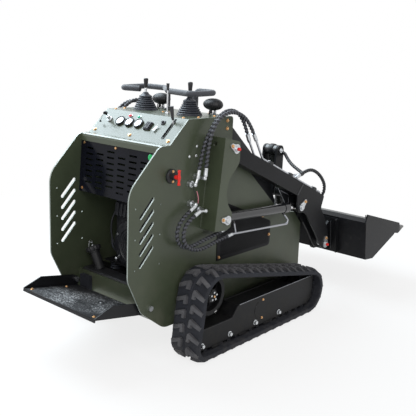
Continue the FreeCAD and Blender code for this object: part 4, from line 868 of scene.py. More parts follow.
def evenly(points, step):
    """The same line at even steps along its length, and the lengths."""
    gaps = np.linalg.norm(np.diff(points, axis=0), axis=1)
    along = np.concatenate([[0.0], np.cumsum(gaps)])
    s = np.linspace(0, along[-1], max(2, int(along[-1] / step)))
    return np.stack([np.interp(s, along, points[:, k]) for k in range(3)], 1), s


def cable(piece, route, radius, sides, finish=0, step=4.0):
    """A plain round lead along a smooth line."""
    piece.tube(evenly(smooth_line(route, 1), step)[0], radius, sides, finish)


def wrapped_hose(piece, route, sign):
    """A hose in a spiral wrap: radius = hose + rise * w, where w is a flat-topped wave of
    length / pitch - turn, so the crowns run round it as a helix."""
    sizes = bpy.context.scene.loader_sizes
    line, s = evenly(smooth_line(route, sign), 1.9)
    sides = 14
    turn = np.arange(sides) / sides
    wave = np.cos(TURN * (s[:, None] / (sizes.wrap_pitch * 1000) - sign * turn[None, :]))
    crown = np.clip(0.5 + 1.5 * (wave + 0.15), 0, 1)
    ends = np.clip(np.minimum(s, s[-1] - s) / 6.0, 0, 1)[:, None]
    radius = sizes.hose * 500 + sizes.wrap_rise * 1000 * crown * ends
    piece.tube(line, radius, sides, mark=crown * ends)
    return line


class LOADER_OT_hoses(Step, bpy.types.Operator):
    """Runs the spiral-wrapped hoses along their routes between the parts that they join"""
    bl_idname = "loader.hoses"
    bl_label = "Hoses"

    def execute(self, context):
        runs = []
        for side, sign in (("right", 1), ("left", -1)):
            runs.append(("tool_hoses_" + side, TOOL_ROUTES, sign, "chassis", "arm"))
            runs.append(("cylinder_hoses_" + side, CYLINDER_ROUTES, sign, "chassis", "lift_barrel_" + side))
        runs.append(("tilt_hoses", TILT_ROUTES, 1, "arm", "tilt_barrel"))
        for name, routes, sign, near, far in runs:
            piece = Piece()
            lines = [wrapped_hose(piece, route, sign) for route in routes]
            made = piece.make("wrapped_" + name, None, "dark_wrap" if name == "tilt_hoses" else "wrap",
                              "hose_wrap", 60.0)
            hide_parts(name)
            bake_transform(made)
        return {"FINISHED"}


class LOADER_OT_finishes(Step, bpy.types.Operator):
    """Gives each part of the frame its finish"""
    bl_idname = "loader.finishes"
    bl_label = "Finishes"

    def execute(self, context):
        for name, nodes in NODE_FINISHES.items():
            for node in nodes.split():
                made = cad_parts[node]
                if not made.material_slots:
                    made.data.materials.append(None)
                for slot in made.material_slots:
                    slot.material = finish_of(name)
        return {"FINISHED"}


# ---------------------------------------------------------------- tracks
def belt_line(step=1.0):
    """The belt's outer line in XZ as straight runs and arcs round sprocket, rear roller and idler:
    points, outward directions and lengths."""
    circles = np.array([(*SPROCKET, 128.0), (*REAR_ROLLER, 68.0), (*IDLER, 126.0)])
    following = np.roll(circles, -1, 0)
    gap = following[:, :2] - circles[:, :2]
    normal = (np.arctan2(gap[:, 1], gap[:, 0]) - math.pi / 2
              + np.arcsin((circles[:, 2] - following[:, 2]) / np.linalg.norm(gap, axis=1)))
    points, ways = [], []
    for i in range(3):
        out = np.array([math.cos(normal[i]), math.sin(normal[i])])
        start = circles[i, :2] + circles[i, 2] * out
        end = following[i, :2] + following[i, 2] * out
        count = int(np.linalg.norm(end - start) / step)
        t = np.arange(count)[:, None] / count
        points.append(start + t * (end - start))
        ways.append(np.broadcast_to(out, (count, 2)))
        sweep = (normal[(i + 1) % 3] - normal[i]) % TURN
        count = int(sweep * following[i, 2] / step)
        angle = normal[i] + np.arange(count) / count * sweep
        arc = np.stack([np.cos(angle), np.sin(angle)], 1)
        points.append(following[i, :2] + following[i, 2] * arc)
        ways.append(arc)
    points, ways = np.concatenate(points), np.concatenate(ways)
    gaps = np.linalg.norm(np.roll(points, -1, 0) - points, axis=1)
    return points, ways, np.concatenate([[0.0], np.cumsum(gaps)])


def on_belt(belt, s, y, lift):
    """Points at a length s round the belt, across it at y and lifted off it; s and lift are grids."""
    points, ways, along = belt
    s = np.mod(s, along[-1])
    x, z, nx, nz = (np.interp(s, along, np.append(row, row[0])) for row in (*points.T, *ways.T))
    return np.stack([x + lift * nx, np.broadcast_to(y, np.shape(s)), z + lift * nz], -1)


def ribbon(piece, belt, centre, width, height, finish):
    """A lug's limb: a bar of trapezium section carried along a line of (s, across) on the belt;
    its height falls to 1.5 mm over the last 36 mm before the belt's edge."""
    way = unit(np.gradient(centre, axis=0))
    side = np.stack([way[:, 1], -way[:, 0]], 1)
    offsets = np.array([-0.5, -0.38, 0.38, 0.5]) * width
    s = centre[:, :1] + side[:, :1] * offsets
    y = centre[:, 1:] + side[:, 1:] * offsets
    top = 1.5 + (height - 1.5) * np.clip((TRACK_HALF - np.abs(y)) / 36, 0, 1)
    lifts = np.where(np.arange(4) % 3 == 0, -2.0, top)
    y = np.clip(y, -TRACK_HALF, TRACK_HALF)
    piece.skin(on_belt(belt, s, -TRACK_MID + y, lifts)[:, ::-1], finish)


def right_track():
    """The right track: its carcass, two staggered rows of hooked lugs, and guide lugs inside."""
    sizes = bpy.context.scene.loader_sizes
    belt = belt_line()
    total = belt[2][-1]
    piece = Piece()
    # Half of the carcass's section as (across, lift): a shallow rib near a rolled edge.
    half = np.array([(4, -2.5), (7, 0), (TRACK_HALF - 9, 0), (TRACK_HALF - 6, 0), (TRACK_HALF - 1.5, -1.5),
                     (TRACK_HALF, -5), (TRACK_HALF, -19), (TRACK_HALF - 3, -23), (TRACK_HALF - 8, -24)])
    other = half[::-1] * (-1, 1)
    section = np.concatenate([other[3:], half, other[:3]])
    stations = 300
    s = np.linspace(0, total, stations, endpoint=False)
    grid = on_belt(belt, np.repeat(s[:, None], len(section), 1), -TRACK_MID + section[:, 0],
                   np.broadcast_to(section[:, 1], (stations, len(section))))
    piece.skin(grid[:, ::-1], 0, loop=True)
    count = int(round(total / (sizes.lug_pitch * 1000)))
    pitch = total / count
    tall = sizes.lug_height * 1000 - 0.05
    t = np.linspace(0, 1, 7)
    for i in range(count):
        for hand, shift in ((1, 0.0), (-1, 0.5)):
            a = (i + shift) * pitch
            bar = np.stack([a + 5 + 28 * t, hand * (20 + 70 * t)], 1)
            leg = np.stack([a + 2 + 38 * t[::2], hand * (27 - 3 * t[::2])], 1)
            edge = np.stack([a + 20 + 30 * t[::3], hand * np.full(3, TRACK_HALF - 9)], 1)
            ribbon(piece, belt, bar, 24.0, tall, 1)
            ribbon(piece, belt, leg, 22.0, tall - 0.1, 1)
            ribbon(piece, belt, edge, 16.0, 5.0, 0)
    offsets = np.array([-5.0, -3.5, 3.5, 5.0])
    lifts = np.broadcast_to([-23.0, -37.0, -37.0, -23.0], (3, 4))
    for i in range(sizes.guide_lugs):
        s = (i + 0.5) * total / sizes.guide_lugs + np.array([[-13.0], [0.0], [13.0]])
        for hand in (1, -1):
            piece.skin(on_belt(belt, np.repeat(s, 4, 1), -TRACK_MID + hand * 39.0 + offsets, lifts))
    return piece


class LOADER_OT_tracks(Step, bpy.types.Operator):
    """Moulds the rubber tracks with two staggered rows of hooked lugs and guide lugs inside"""
    bl_idname = "loader.tracks"
    bl_label = "Tracks"

    def execute(self, context):
        right = right_track()
        for side, piece in (("right", right), ("left", right.mirrored())):
            made = piece.make("tread_" + side, "chassis", "rubber lug", "black_rubber", 30.0)
            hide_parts("track_" + side)
        return {"FINISHED"}


# ---------------------------------------------------------------- controls
class LOADER_OT_joysticks(Step, bpy.types.Operator):
    """Fits the two joysticks: folded boots, cover hats, bright stems and grips"""
    bl_idname = "loader.joysticks"
    bl_label = "Joysticks"

    def execute(self, context):
        fold = context.scene.loader_sizes.bellows_fold * 1000
        # Bellows: r falls from 65 to 34 while a rounded saw wave of six folds rides on it.
        t = np.linspace(0, 1, 73)
        wave = np.abs(np.sin(np.pi * 6 * t)) ** 0.6
        boot = np.stack([65.0 - 31.0 * t - fold * (1 - wave) * (0.75 + 0.25 * t), 4 + 62 * t], 1)
        parts = [
            ([(66, 0), (66, 3.4), (64.5, 5), (62, 5.4), (61, 5.4)], 48, 0),
            (boot, 48, 0),
            ([(31, 65), (33.4, 66), (34.4, 69), (34, 72), (31.5, 74), (28, 76), (20, 81), (16, 86),
              (14.5, 88), (14, 91), (12, 92.5), (8, 93)], 48, 0),
            ([(6.2, 90), (6.2, 108), (9.0, 108.5), (9.0, 113), (8.0, 114.5)], 20, 1),
            ([(8.2, 113.5), (9.2, 115), (9.6, 122), (10.6, 136), (11.9, 150), (12.5, 157), (11.8, 161.5),
              (9.0, 164.2), (4.0, 164.95)], 32, 2)]
        for side, y in (("left", 160.0), ("right", -160.0)):
            foot = np.array([525.0, y, DECK])
            piece = Piece()
            for profile, sides, finish in parts:
                piece.turn(profile, foot, UP, sides, finish)
            for a, b in ring_of(6, 58, 58, 0.3):
                button(piece, foot + (a, b, 5.2), UP, 3.2, 1)
            made = piece.make("joystick_boot_" + side, "chassis", "boot zinc plastic", "black_rubber", 50.0)
            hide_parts("joystick_" + side)
        return {"FINISHED"}


class LOADER_OT_handles(Step, bpy.types.Operator):
    """Adds the handlebar's sleeve ends and its feet, and the levers' collars"""
    bl_idname = "loader.handles"
    bl_label = "Handle details"

    def execute(self, context):
        piece = Piece()
        end, beside = np.array([537.0, 219, 1287]), np.array([503.0, 336, 1287])
        way = unit(end - beside)
        rings = [(14.6, -1), (15.4, 0.2), (14.9, 1.8), (12.2, 2.0), (11.6, 0.6), (11.4, 0.4)]
        piece.turn(rings, end, way, 28)
        piece.turn([(11.4, 0), (10.4, 1.6), (8.0, 1.8), (7.6, 0.8), (2.0, 0.7)], end, way, 28, 1)
        for x, y in ((657.0, -78.0), (650.0, 112.0)):
            piece.turn([(25, 0), (25, 4.6), (24, 5.6), (18, 6), (17.0, 6.4)], (x, y, DECK), UP, 32, 1)
            for a in (0.5, 2.6, 4.7):
                bolt(piece, (x + 20.5 * math.cos(a), y + 20.5 * math.sin(a), DECK + 5.6), UP, 7.0, 2, False)
        piece.turn([(10.6, 0), (10.6, 7), (9.6, 9), (5.0, 10), (4.8, 12)], (470.0, -58.0, DECK), UP, 24, 2)
        for y in (22.0, -18.0):
            bolt(piece, (520.0, y, DECK), UP, 10.0, 3)
        piece.make("handle_details", "chassis", "foam plastic zinc bolt", "foam_grip")
        return {"FINISHED"}


def gauge(piece, foot, reading):
    """A bezel, a dial with eleven ticks over 260 degrees, and a needle turned to the reading."""
    bezel = [(27.4, 0), (28, 1.2), (28, 9.5), (27.2, 11.6), (25.4, 12.2), (22.8, 11.6), (20.6, 9.6),
             (20.2, 9.2)]
    piece.turn(bezel, foot, PANEL_UP, 48)
    piece.turn([(21.4, 8.2), (21.0, 9.7), (2.0, 9.75)], foot, PANEL_UP, 48, 1)

    def toward(angle):
        return math.sin(angle) * RIGHT + math.cos(angle) * np.cross(PANEL_UP, RIGHT)

    for k in range(11):
        way = toward(math.radians(-130 + 26 * k))
        piece.plate(rect(0, 4.2, -0.55, 0.55), foot + way * 16.6, way, PANEL_UP, 9.6, 10.0)
    piece.plate([(-5, -1.1), (15, -0.4), (15, 0.4), (-5, 1.1)], foot, toward(reading), PANEL_UP, 10.0, 10.5)
    piece.turn([(3.2, 9.6), (3.2, 11), (2.4, 11.6), (0.8, 11.7)], foot, PANEL_UP, 16)


def key_switch(piece, foot):
    """A barrel with its key, a short cord and a fob."""
    barrel = [(15.5, 0), (15.5, 5), (13.6, 8.2), (10, 8.4), (9.4, 12), (9.4, 24), (8.4, 26), (5, 26.2)]
    piece.turn(barrel, foot, PANEL_UP, 28, 4)
    across = unit(LEFT * 0.9 + PANEL_WAY * -0.35)
    normal = np.cross(across, PANEL_UP)
    key = foot + PANEL_UP * 24
    piece.plate(rect(-3, 3, 0, 16), key, across, normal, -1.0, 1.0, 4)
    piece.plate(ring_of(14, 12.5, 10.5) + (0, 24), key, across, normal, -2.6, 2.6)
    top = foot + PANEL_UP * 46 + across * 6
    a = np.linspace(0, 30, 9)[:, None]
    drop = top + across * a - PANEL_WAY * 0.55 * a - PANEL_UP * (0.045 * a * a / 1.6)
    piece.tube(drop, 1.5, 8, 4)
    fob = [(2, 0), (6, 1.5), (6.4, 6), (4, 9), (1, 9.4)]
    piece.turn(fob, drop[-1], -PANEL_UP * 0.4 - PANEL_WAY, 14)


def blank_tag(piece, top):
    """A curled sheet hanging by a loop; over it the bow is 0.010 (a - 17)^2 + 0.012 b^2."""
    a, b = np.meshgrid(np.linspace(0, 34, 9), np.linspace(-8.5, 8.5, 5), indexing="ij")
    way = unit(-PANEL_WAY * 0.95 + LEFT * 0.25)
    side = unit(np.cross(PANEL_UP, way))
    bow = 0.010 * (a - 17) ** 2 + 0.012 * b ** 2
    sheet = top + a[..., None] * way + b[..., None] * side + bow[..., None] * PANEL_UP
    piece.skin(np.concatenate([sheet, (sheet - 0.7 * PANEL_UP)[:, ::-1]], 1), 6)
    t = np.linspace(0, np.pi, 9)[:, None]
    loop = (top + way * 3 + PANEL_WAY * (14 * np.sin(t)) + side * (5 * (1 - np.cos(t)))
            + PANEL_UP * (2 + 4 * np.sin(t)))
    piece.tube(loop, 0.9, 6, 6)


class LOADER_OT_instruments(Step, bpy.types.Operator):
    """Fits the gauges, warning lamps, key switch with its key, rocker, knob and blank tag"""
    bl_idname = "loader.instruments"
    bl_label = "Instruments"

    def execute(self, context):
        piece = Piece()
        for y, reading in ((128.0, -1.9), (61.0, -1.2), (-6.0, 0.4)):
            gauge(piece, on_panel(96, y), reading)
        t = np.linspace(0, 1, 8) * np.pi / 2
        cap = np.stack([8.6 * np.cos(t) + 0.4, 6 + 6 * np.sin(t)], 1)
        dome = np.concatenate([[(8.6, 2.5), (8.6, 6)], cap])
        for y, finish in ((86.0, 2), (21.0, 3)):
            foot = on_panel(137, y)
            piece.turn([(11, 0), (11, 2.4), (10, 3.2), (8.6, 3.4)], foot, PANEL_UP, 24, 4)
            piece.turn(dome, foot, PANEL_UP, 24, finish)
        key_switch(piece, on_panel(98, 212))
        # Rocker: a frame with two keys of three ridges in it, the middle ridge lower.
        base = on_panel(0, -80)
        piece.plate(rect(66, 114, -18.5, 18.5), base, PANEL_WAY, PANEL_UP, 0, 9, 5)
        for low in (-14.4, 2.0):
            for off, top in ((0.0, 13.4), (4.6, 12.2), (9.2, 13.4)):
                a = low + off
                piece.plate(rect(70, 110, a, a + 3.4), base, PANEL_WAY, PANEL_UP, 8, top, 5)
        knob = [(14.4, 0), (14.2, 3), (12, 4.4), (6.5, 4.8), (6, 12), (5, 13.6), (2, 14)]
        piece.turn(knob, on_panel(125, -157), PANEL_UP, 28, 5)
        # Seal round the throttle's slot, a strip bent to a long loop, and a black slab below the slot as
        # painted shade inside it.
        t = np.linspace(0, TURN, 33)[:-1, None]
        reach = np.where(np.cos(t) > 0, 50.0, -50.0) + 7.5 * np.cos(t)
        lip = on_panel(88, -219, 0.6) + reach * PANEL_WAY + 7.5 * np.sin(t) * LEFT
        piece.tube(lip, 2.2, 6, loop=True)
        piece.plate(rect(34, 142, -7.2, 7.2), on_panel(0, -219), PANEL_WAY, PANEL_UP, -9, -6)
        blank_tag(piece, on_panel(96, -143, 6.5))
        made = piece.make("instrument_set", "chassis",
                          "plastic dial red_lamp green_lamp zinc panel_plastic paper", "black_plastic", 35.0)
        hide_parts("instruments")
        return {"FINISHED"}


class LOADER_OT_lamps(Step, bpy.types.Operator):
    """Fits the two oval work lamps with their bezels, fluted glass, forks and leads"""
    bl_idname = "loader.lamps"
    bl_label = "Work lamps"

    def execute(self, context):
        piece = Piece()
        # Shell: an ellipsoid, 57 by 31 mm at its middle and 44 mm deep, finned behind, cut off ahead.
        wide, narrow, deep = 57, 31, 44
        h = -deep * np.cos(np.linspace(0.10, np.pi / 2 + 0.30, 44))
        r = wide * np.sqrt(1 - (h / deep) ** 2) * (1 - 0.07 * (np.sin(h * 0.95) > 0.1) * (h < -4))
        rings = [(np.stack([r, h], 1), 0),
                 ([(53.5, 10), (55.2, 12), (55.0, 15.5), (52, 17.2), (49, 16.6), (48, 14.6)], 0),
                 ([(49, 12.0), (48.6, 14.8), (36, 16.6), (18, 17.4), (3, 17.6)], 1)]
        for y in (188.0, -188.0):
            foot = np.array([672.0, y, DECK])
            centre = foot + UP * 51
            for profile, finish in rings:
                oval = np.asarray(profile, float) * (narrow / wide, 1)
                piece.turn(oval, centre, FORWARD, 48, finish, wide / narrow)
            for side in (-1, 1):
                fork = [(-9, -49), (11, -49), (8, -20), (-6, -20)]
                piece.plate(fork, centre + LEFT * side * 13, FORWARD, RIGHT, -1.5, 1.5)
                bolt(piece, centre + (1, side * 14.5, -38), LEFT * side, 11.0, 2)
            piece.plate(rect(-8, 12, -30, 30), foot, FORWARD, UP, 1, 4, 2)
            bolt(piece, foot + (2, 0, 4), UP, 12.0, 2)
            button(piece, foot + (-4, 24, 4), UP, 4.5, 3)
            lead = [(-30, -12, 36), (-46, -16, 22), (-44, -14, 8), (-34, -10, 1)]
            cable(piece, foot + lead, 2.6, 8)
        made = piece.make("work_lamp_set", "chassis", "plastic lens zinc bolt", "black_plastic", 40.0)
        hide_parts("work_lamps")
        return {"FINISHED"}


# ---------------------------------------------------------------- hardware
class LOADER_OT_fasteners(Step, bpy.types.Operator):
    """Puts in the body's bolts: on the side plates, panel, guard, deck and covers"""
    bl_idname = "loader.fasteners"
    bl_label = "Body fasteners"

    def execute(self, context):
        across = context.scene.loader_sizes.bolt_head * 1000
        piece = Piece()
        for x, z in ((440, 1048), (389, 1002), (437, 1002)):
            button(piece, (x, -PLATE_OUT, z), RIGHT, 7.5, 0)
        for x, z in ((664, 1161), (664, 1121)):
            bolt(piece, (x, -PLATE_OUT, z), RIGHT, across, 1)
        for x, z in ((1080, 487), (640, 441), (1010, 608), (642, 722)):
            bolt(piece, (x, -PLATE_OUT - 3, z), RIGHT, across * 0.9, 1)
        for x, z in ((390, 870), (435, 900), (398, 771), (452, 735)):
            piece.turn([(17.5, 0), (17.5, 5), (16, 7)], (x, -PLATE_OUT, z), RIGHT, 6)
            piece.turn([(13, 6), (13, 19.5), (11.5, 21)], (x, -PLATE_OUT, z), RIGHT, 6)
        both_sides(piece)
        for y in (266.0, 0.0, -266.0):
            bolt(piece, on_panel(21, y, 0), PANEL_UP, across, 1)
            bolt(piece, (232.0, y, PANEL_FOOT[1]), UP, across * 0.6, 2, False, 1.2)
        guard = unit([-1.0, 0, 0.0712])
        for y in (262.0, 20.0, -262.0):
            bolt(piece, (202.0 - 1.2, y, 1019), guard, across, 1)
        for y in (266.0, -266.0):
            bolt(piece, (183.6, y, 784), guard, across * 0.9, 1)
        piece.turn([(15.5, 0), (15.5, 3), (13.5, 5), (9, 6), (4, 6.2)], (200.4, -223, 1006), guard, 26, 3)
        for x, y in ((392, 245), (392, -245), (470, 262), (600, 262), (600, -262), (690, 0), (480, -262)):
            bolt(piece, (x, y, DECK), UP, across * 0.85, 1)
        for y in (-200.0, -70.0, 70.0, 200.0):
            bolt(piece, (1407.0, y, 470.0), unit([1.0, 0, 0.02]), across, 1)
        piece.make("body_fasteners", "chassis", "zinc bolt body green_cap", "zinc_plated_steel")
        return {"FINISHED"}


def pin_lock(piece, axis, bolt_at, y, cap=False):
    """A pin's chamfered end on its axis, its lock bolt, and a grease cap where there is one."""
    end = (axis[0], -y, axis[1])
    piece.turn([(15.2, 6), (15.2, 12.4), (13.4, 14.2), (6, 14.2), (5, 13.4)], end, RIGHT, 28)
    bolt(piece, (bolt_at[0], -y - 6, bolt_at[1]), RIGHT, 13.0, 1)
    if cap:
        piece.turn([(5.2, 13), (8.4, 15), (8.6, 22), (7.2, 25), (3, 26)], end, RIGHT, 20, 2)


class LOADER_OT_pins(Step, bpy.types.Operator):
    """Adds the pins' chamfered ends, their lock bolts and red grease caps"""
    bl_idname = "loader.pins"
    bl_label = "Pins"

    def execute(self, context):
        body, arm, hub = Piece(), Piece(), Piece()
        pin_lock(body, PIVOT, (592, 1049), TOWER_OUT, True)
        pin_lock(body, LIFT_BASE, (545, 679), TOWER_OUT)
        both_sides(body).make("tower_pin_ends", "chassis", "zinc bolt signal", "zinc_plated_steel")
        pin_lock(arm, LIFT_EYE, (1316, 660), ARM_OUT)
        pin_lock(arm, BUCKET_PIN, (1588, 386), ARM_OUT, True)
        both_sides(arm)
        for hand in (1, -1):
            end = (TILT_BASE[0], 56 * hand, TILT_BASE[1])
            arm.turn([(15.2, 5.5), (15.2, 8), (13, 10), (5, 10)], end, LEFT * hand, 28)
            arm.turn([(4, 9.5), (6, 10.5), (6, 14), (3, 16)], end, LEFT * hand, 14)
        arm.make("arm_pin_ends", "arm", "zinc bolt signal", "zinc_plated_steel")
        hump = [(31, -19), (35.5, -17), (37.6, -12), (38.2, 0), (37.6, 12), (35.5, 17), (31, 19)]
        hub.turn(hump, (TILT_BASE[0], 0, TILT_BASE[1]), LEFT, 48)
        hub.make("tilt_hub", "tilt_barrel", "steel_black", "black_paint")
        return {"FINISHED"}


class LOADER_OT_stiffeners(Step, bpy.types.Operator):
    """Adds the thin triangular stiffeners inside the arms, under the tubes, with pale rims along their edges
    as a painted highlight
    """
    bl_idname = "loader.stiffeners"
    bl_label = "Arm stiffeners"

    def execute(self, context):
        piece = Piece()
        outline = [(-82, 74), (62, 8), (70, -72), (38, -78)]
        piece.plate(outline, (1200.0, -309.0, 690.0), FORWARD, RIGHT, -3, 3)
        # pale rims: a painted highlight along the stiffeners' edges
        for rim in ([(1118, 764), (1238, 612)], [(1150, 738), (1236, 700), (1240, 640)]):
            piece.tube([(x, -312.0, z) for x, z in rim], 2.0, 8, 1)
        both_sides(piece).make("arm_stiffeners", "arm", "steel_black edge", "black_paint")
        return {"FINISHED"}


def crimp(piece, end, beside, longest):
    """A ferrule on a hose's end, its radius 10.55 stepping to 10.05 as a wave along it."""
    h = np.linspace(1, longest - 2, 30)
    r = 10.55 - 0.5 * (np.sin(h * 1.15) > 0.35) * (h < longest * 0.7)
    r[0] = r[-1] = 9.6
    piece.turn(np.stack([r, h], 1), end, unit(np.subtract(end, beside)), 20)


class LOADER_OT_lines(Step, bpy.types.Operator):
    """Adds crimps, nuts and clamp blocks to the hydraulic lines"""
    bl_idname = "loader.lines"
    bl_label = "Line details"

    def execute(self, context):
        body, arm, barrel, tilt = Piece(), Piece(), Piece(), Piece()
        for route in TOOL_ROUTES + CYLINDER_ROUTES:
            crimp(body, route[0], route[1], 40)
        for route in TOOL_ROUTES:
            crimp(arm, route[-1], route[-2], 40)
            way = unit(np.subtract(route[-1], route[-2]))
            arm.turn([(9.4, 0), (9.4, 10), (8, 11.5)], route[-1] + way * 41, way, 6)
        for route in CYLINDER_ROUTES:
            crimp(barrel, route[-1], route[-2], 36)
        for s in (345, 560, 845):
            top = along_arm(s + 13, 26, -348)
            arm.plate(rect(-14, 14, -24, 24), top, ARM_WAY, ARM_UP, 1, 18.4, 1)
            bolt(arm, along_arm(s + 13, 44.4, -348), ARM_UP, 11.0, 0, False)
        both_sides(body).make("body_crimps", "chassis", "zinc", "zinc_plated_steel")
        both_sides(arm)
        for route, longest in zip(TILT_ROUTES, (20, 28)):
            crimp(arm, route[0], route[1], 40)
            crimp(tilt, route[-1], route[-2], longest)
        arm.make("arm_crimps", "arm", "zinc plastic", "zinc_plated_steel")
        barrel.make("right_barrel_crimps", "lift_barrel_right", "zinc", "zinc_plated_steel")
        barrel.mirrored().make("left_barrel_crimps", "lift_barrel_left", "zinc", "zinc_plated_steel")
        tilt.make("tilt_crimps", "tilt_barrel", "zinc", "zinc_plated_steel")
        return {"FINISHED"}


class LOADER_OT_tie_and_isolator(Step, bpy.types.Operator):
    """Adds the battery isolator's handle, the hoses' tie and their lead"""
    bl_idname = "loader.isolator"
    bl_label = "Isolator and tie"

    def execute(self, context):
        piece = Piece()
        foot = np.array([264.0, -PLATE_OUT, 921.0])
        base = [(35, 0), (35, 9), (33, 12.5), (28, 14), (16, 14.4), (15.4, 18), (14.6, 30), (13, 31)]
        piece.turn(base, foot, RIGHT, 40)
        for z in (24.0, -24.0):
            bolt(piece, foot + UP * z + RIGHT * 13.4, RIGHT, 9.5, 1)
        piece.turn([(9.8, 28), (9.8, 50), (9, 52)], foot, RIGHT, 24, 2)
        # Handle: a bar of radius 6.6 + 3 (|h| / 36.8)^3, with a boss of 3.6 exp(-(h / 11)^2) on it.
        h = np.linspace(-36.8, 36.8, 41)
        r = 6.6 + 3.0 * np.abs(h / 36.8) ** 3 + 3.6 * np.exp(-(h / 11) ** 2)
        r[0] = r[-1] = 6.0
        piece.turn(np.stack([r, h], 1), foot + RIGHT * 53.2, UP, 20, 2, 0.72)
        made = piece.make("isolator_handle", "chassis", "plastic bolt signal", "black_plastic", 45.0)
        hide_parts("battery_switch")
        tie = Piece()
        lead = [(392, -322, 858), (396, -330, 835), (404, -334, 812), (408, -330, 790), (402, -322, 778)]
        cable(tie, lead, 1.9, 8)
        cable(tie, [(408, -334, 836), (413, -338, 815), (419, -338, 794), (424, -330, 772)], 2.1, 8, 1)
        tie.make("hose_tie", "chassis", "plastic pink", "black_plastic")
        return {"FINISHED"}


class LOADER_OT_running_gear(Step, bpy.types.Operator):
    """Adds roller bolts, hub nuts, the tensioner's cover and the frames' screws"""
    bl_idname = "loader.running_gear"
    bl_label = "Running gear"

    def execute(self, context):
        side = Piece()
        face = TRACK_MID + 56
        for i in range(4):
            bolt(side, (REAR_ROLLER[0] + 216 * i, -face, REAR_ROLLER[1]), RIGHT, 20.0, 0, True, 13.0)
        for x, z in ((840, 198), (837, 94)):
            bolt(side, (x, -face, z), RIGHT, 10.0, 1)
        for x, z in ((1211, 173), (1212, 121), (1166, 118)):
            side.turn([(4.2, 0), (4.2, 0.5), (2.4, 0.5), (2.2, -0.0)], (x, -face, z), RIGHT, 16, 2)
        # Tensioner's cover: a thin crescent edge, an oval arc of 62 by 54 mm.
        t = np.radians(np.linspace(118, 242, 25))[:, None]
        arc = (834, -face - 0.6, 146) + 62 * np.cos(t) * FORWARD + 54 * np.sin(t) * UP
        side.tube(arc, 1.2, 6, 2)
        hub = np.array([SPROCKET[0], -(TRACK_MID + 30), SPROCKET[1]])
        side.turn([(30, -1), (30, 3), (27, 6), (12, 8), (10, 11), (4, 12)], hub, RIGHT, 32, 2)
        for a, b in ring_of(5, 20, 20, 0.3):
            bolt(side, hub + (a, -4.5, b), RIGHT, 11.0, 0, True, 9.0)
        bolt(side, hub + RIGHT * 10, RIGHT, 12.0, 1, False)
        # The frame plates' rolled top edges.
        edge = [(348, 163), (570, 163), (582, 166), (624, 214), (634, 219), (1328, 219)]
        for y in (face - 4, TRACK_MID - 52):
            side.tube([(x, -y, z) for x, z in edge], 4.3, 10, 2)
        # A pale steel strip along the outer plate's top edge: a painted highlight.
        side.tube([(636, -face + 1.6, 222), (1326, -face + 1.6, 222)], 1.9, 8, 3)
        # Guide shoes between the rollers.
        for x in (456.0, 672.0, 888.0):
            shoe = [(-34, 0), (34, 0), (26, -14), (-26, -14)]
            side.plate(shoe, (x, -face + 4, 60), FORWARD, RIGHT, -5, 4, 2)
        both_sides(side).make("gear_details", "chassis", "zinc bolt steel_black edge", "zinc_plated_steel")
        return {"FINISHED"}


def bead(piece, points, r=3.0, finish=0):
    """A weld bead: a ring carried along a line, its radius rippling as 1 + 0.14 |sin| of the length."""
    line, s = evenly(np.asarray(points, float), 2.2)
    radius = r * (1 + 0.14 * np.abs(np.sin(s * 0.75)))[:, None]
    piece.tube(line, radius, 8, finish)


class LOADER_OT_welds(Step, bpy.types.Operator):
    """Lays the weld beads on the arms, the cross tube, the hitch plate, the bucket and the towers"""
    bl_idname = "loader.welds"
    bl_label = "Welds"

    def execute(self, context):
        arm, hitch, tower = Piece(), Piece(), Piece()
        y = -ARM_OUT - 0.2
        bead(arm, [along_arm(684, -54, y), along_arm(710, 25, y)], 3.6)
        bead(arm, [along_arm(702, 26.4, -ARM_OUT + 4), along_arm(702, 26.4, -ARM_OUT + 60)])
        both_sides(arm)
        # Rings of 37 mm round the cross tube, beside each plate that it passes.
        t = np.linspace(0, TURN, 40)[:, None]
        ring = (CROSS_TUBE[0], 0, CROSS_TUBE[1]) + 37 * (np.cos(t) * FORWARD + np.sin(t) * UP)
        for hand in (1, -1):
            for y, r in ((hand * 49 + 15.0, 3.0), (hand * 49 - 15.0, 3.0), (hand * 310.0, 3.4)):
                bead(arm, ring + LEFT * y, r)
        arm.make("arm_welds", "arm", "weld", "black_paint")
        low, top = np.array([1786.0, 0, 244.0]), np.array([1749.0, 0, 492.0])
        way = unit(top - low)
        out = np.array([-way[2], 0, way[0]])
        for hand in (1, -1):
            for y in (hand * 302 + 9, hand * 302 - 9, hand * 49 + 8, hand * 49 - 8):
                span = (24, 216) if abs(y) > 200 else (104, 240)
                bead(hitch, [low + way * s + out * 10.5 + LEFT * y for s in span])
        for hand in (1, -1):
            y = hand * (560 - 10.5)
            bead(hitch, [(1756, y, 540), (1757.4, y, 492), (1793, y, 252), (1884, y, 243), (2180, y, 366)])
            bead(hitch, [(2232.0, hand * 555, 358.5), (2150, hand * 555, 343.5)], 2.0)
        hitch.make("bucket_welds", "bucket", "weld", "black_paint")
        y = -PLATE_OUT - 0.5
        bead(tower, [(489, y, 632), (538, y, 1086)], 3.2)
        both_sides(tower).make("tower_welds", "chassis", "green_weld", "green_paint")
        return {"FINISHED"}


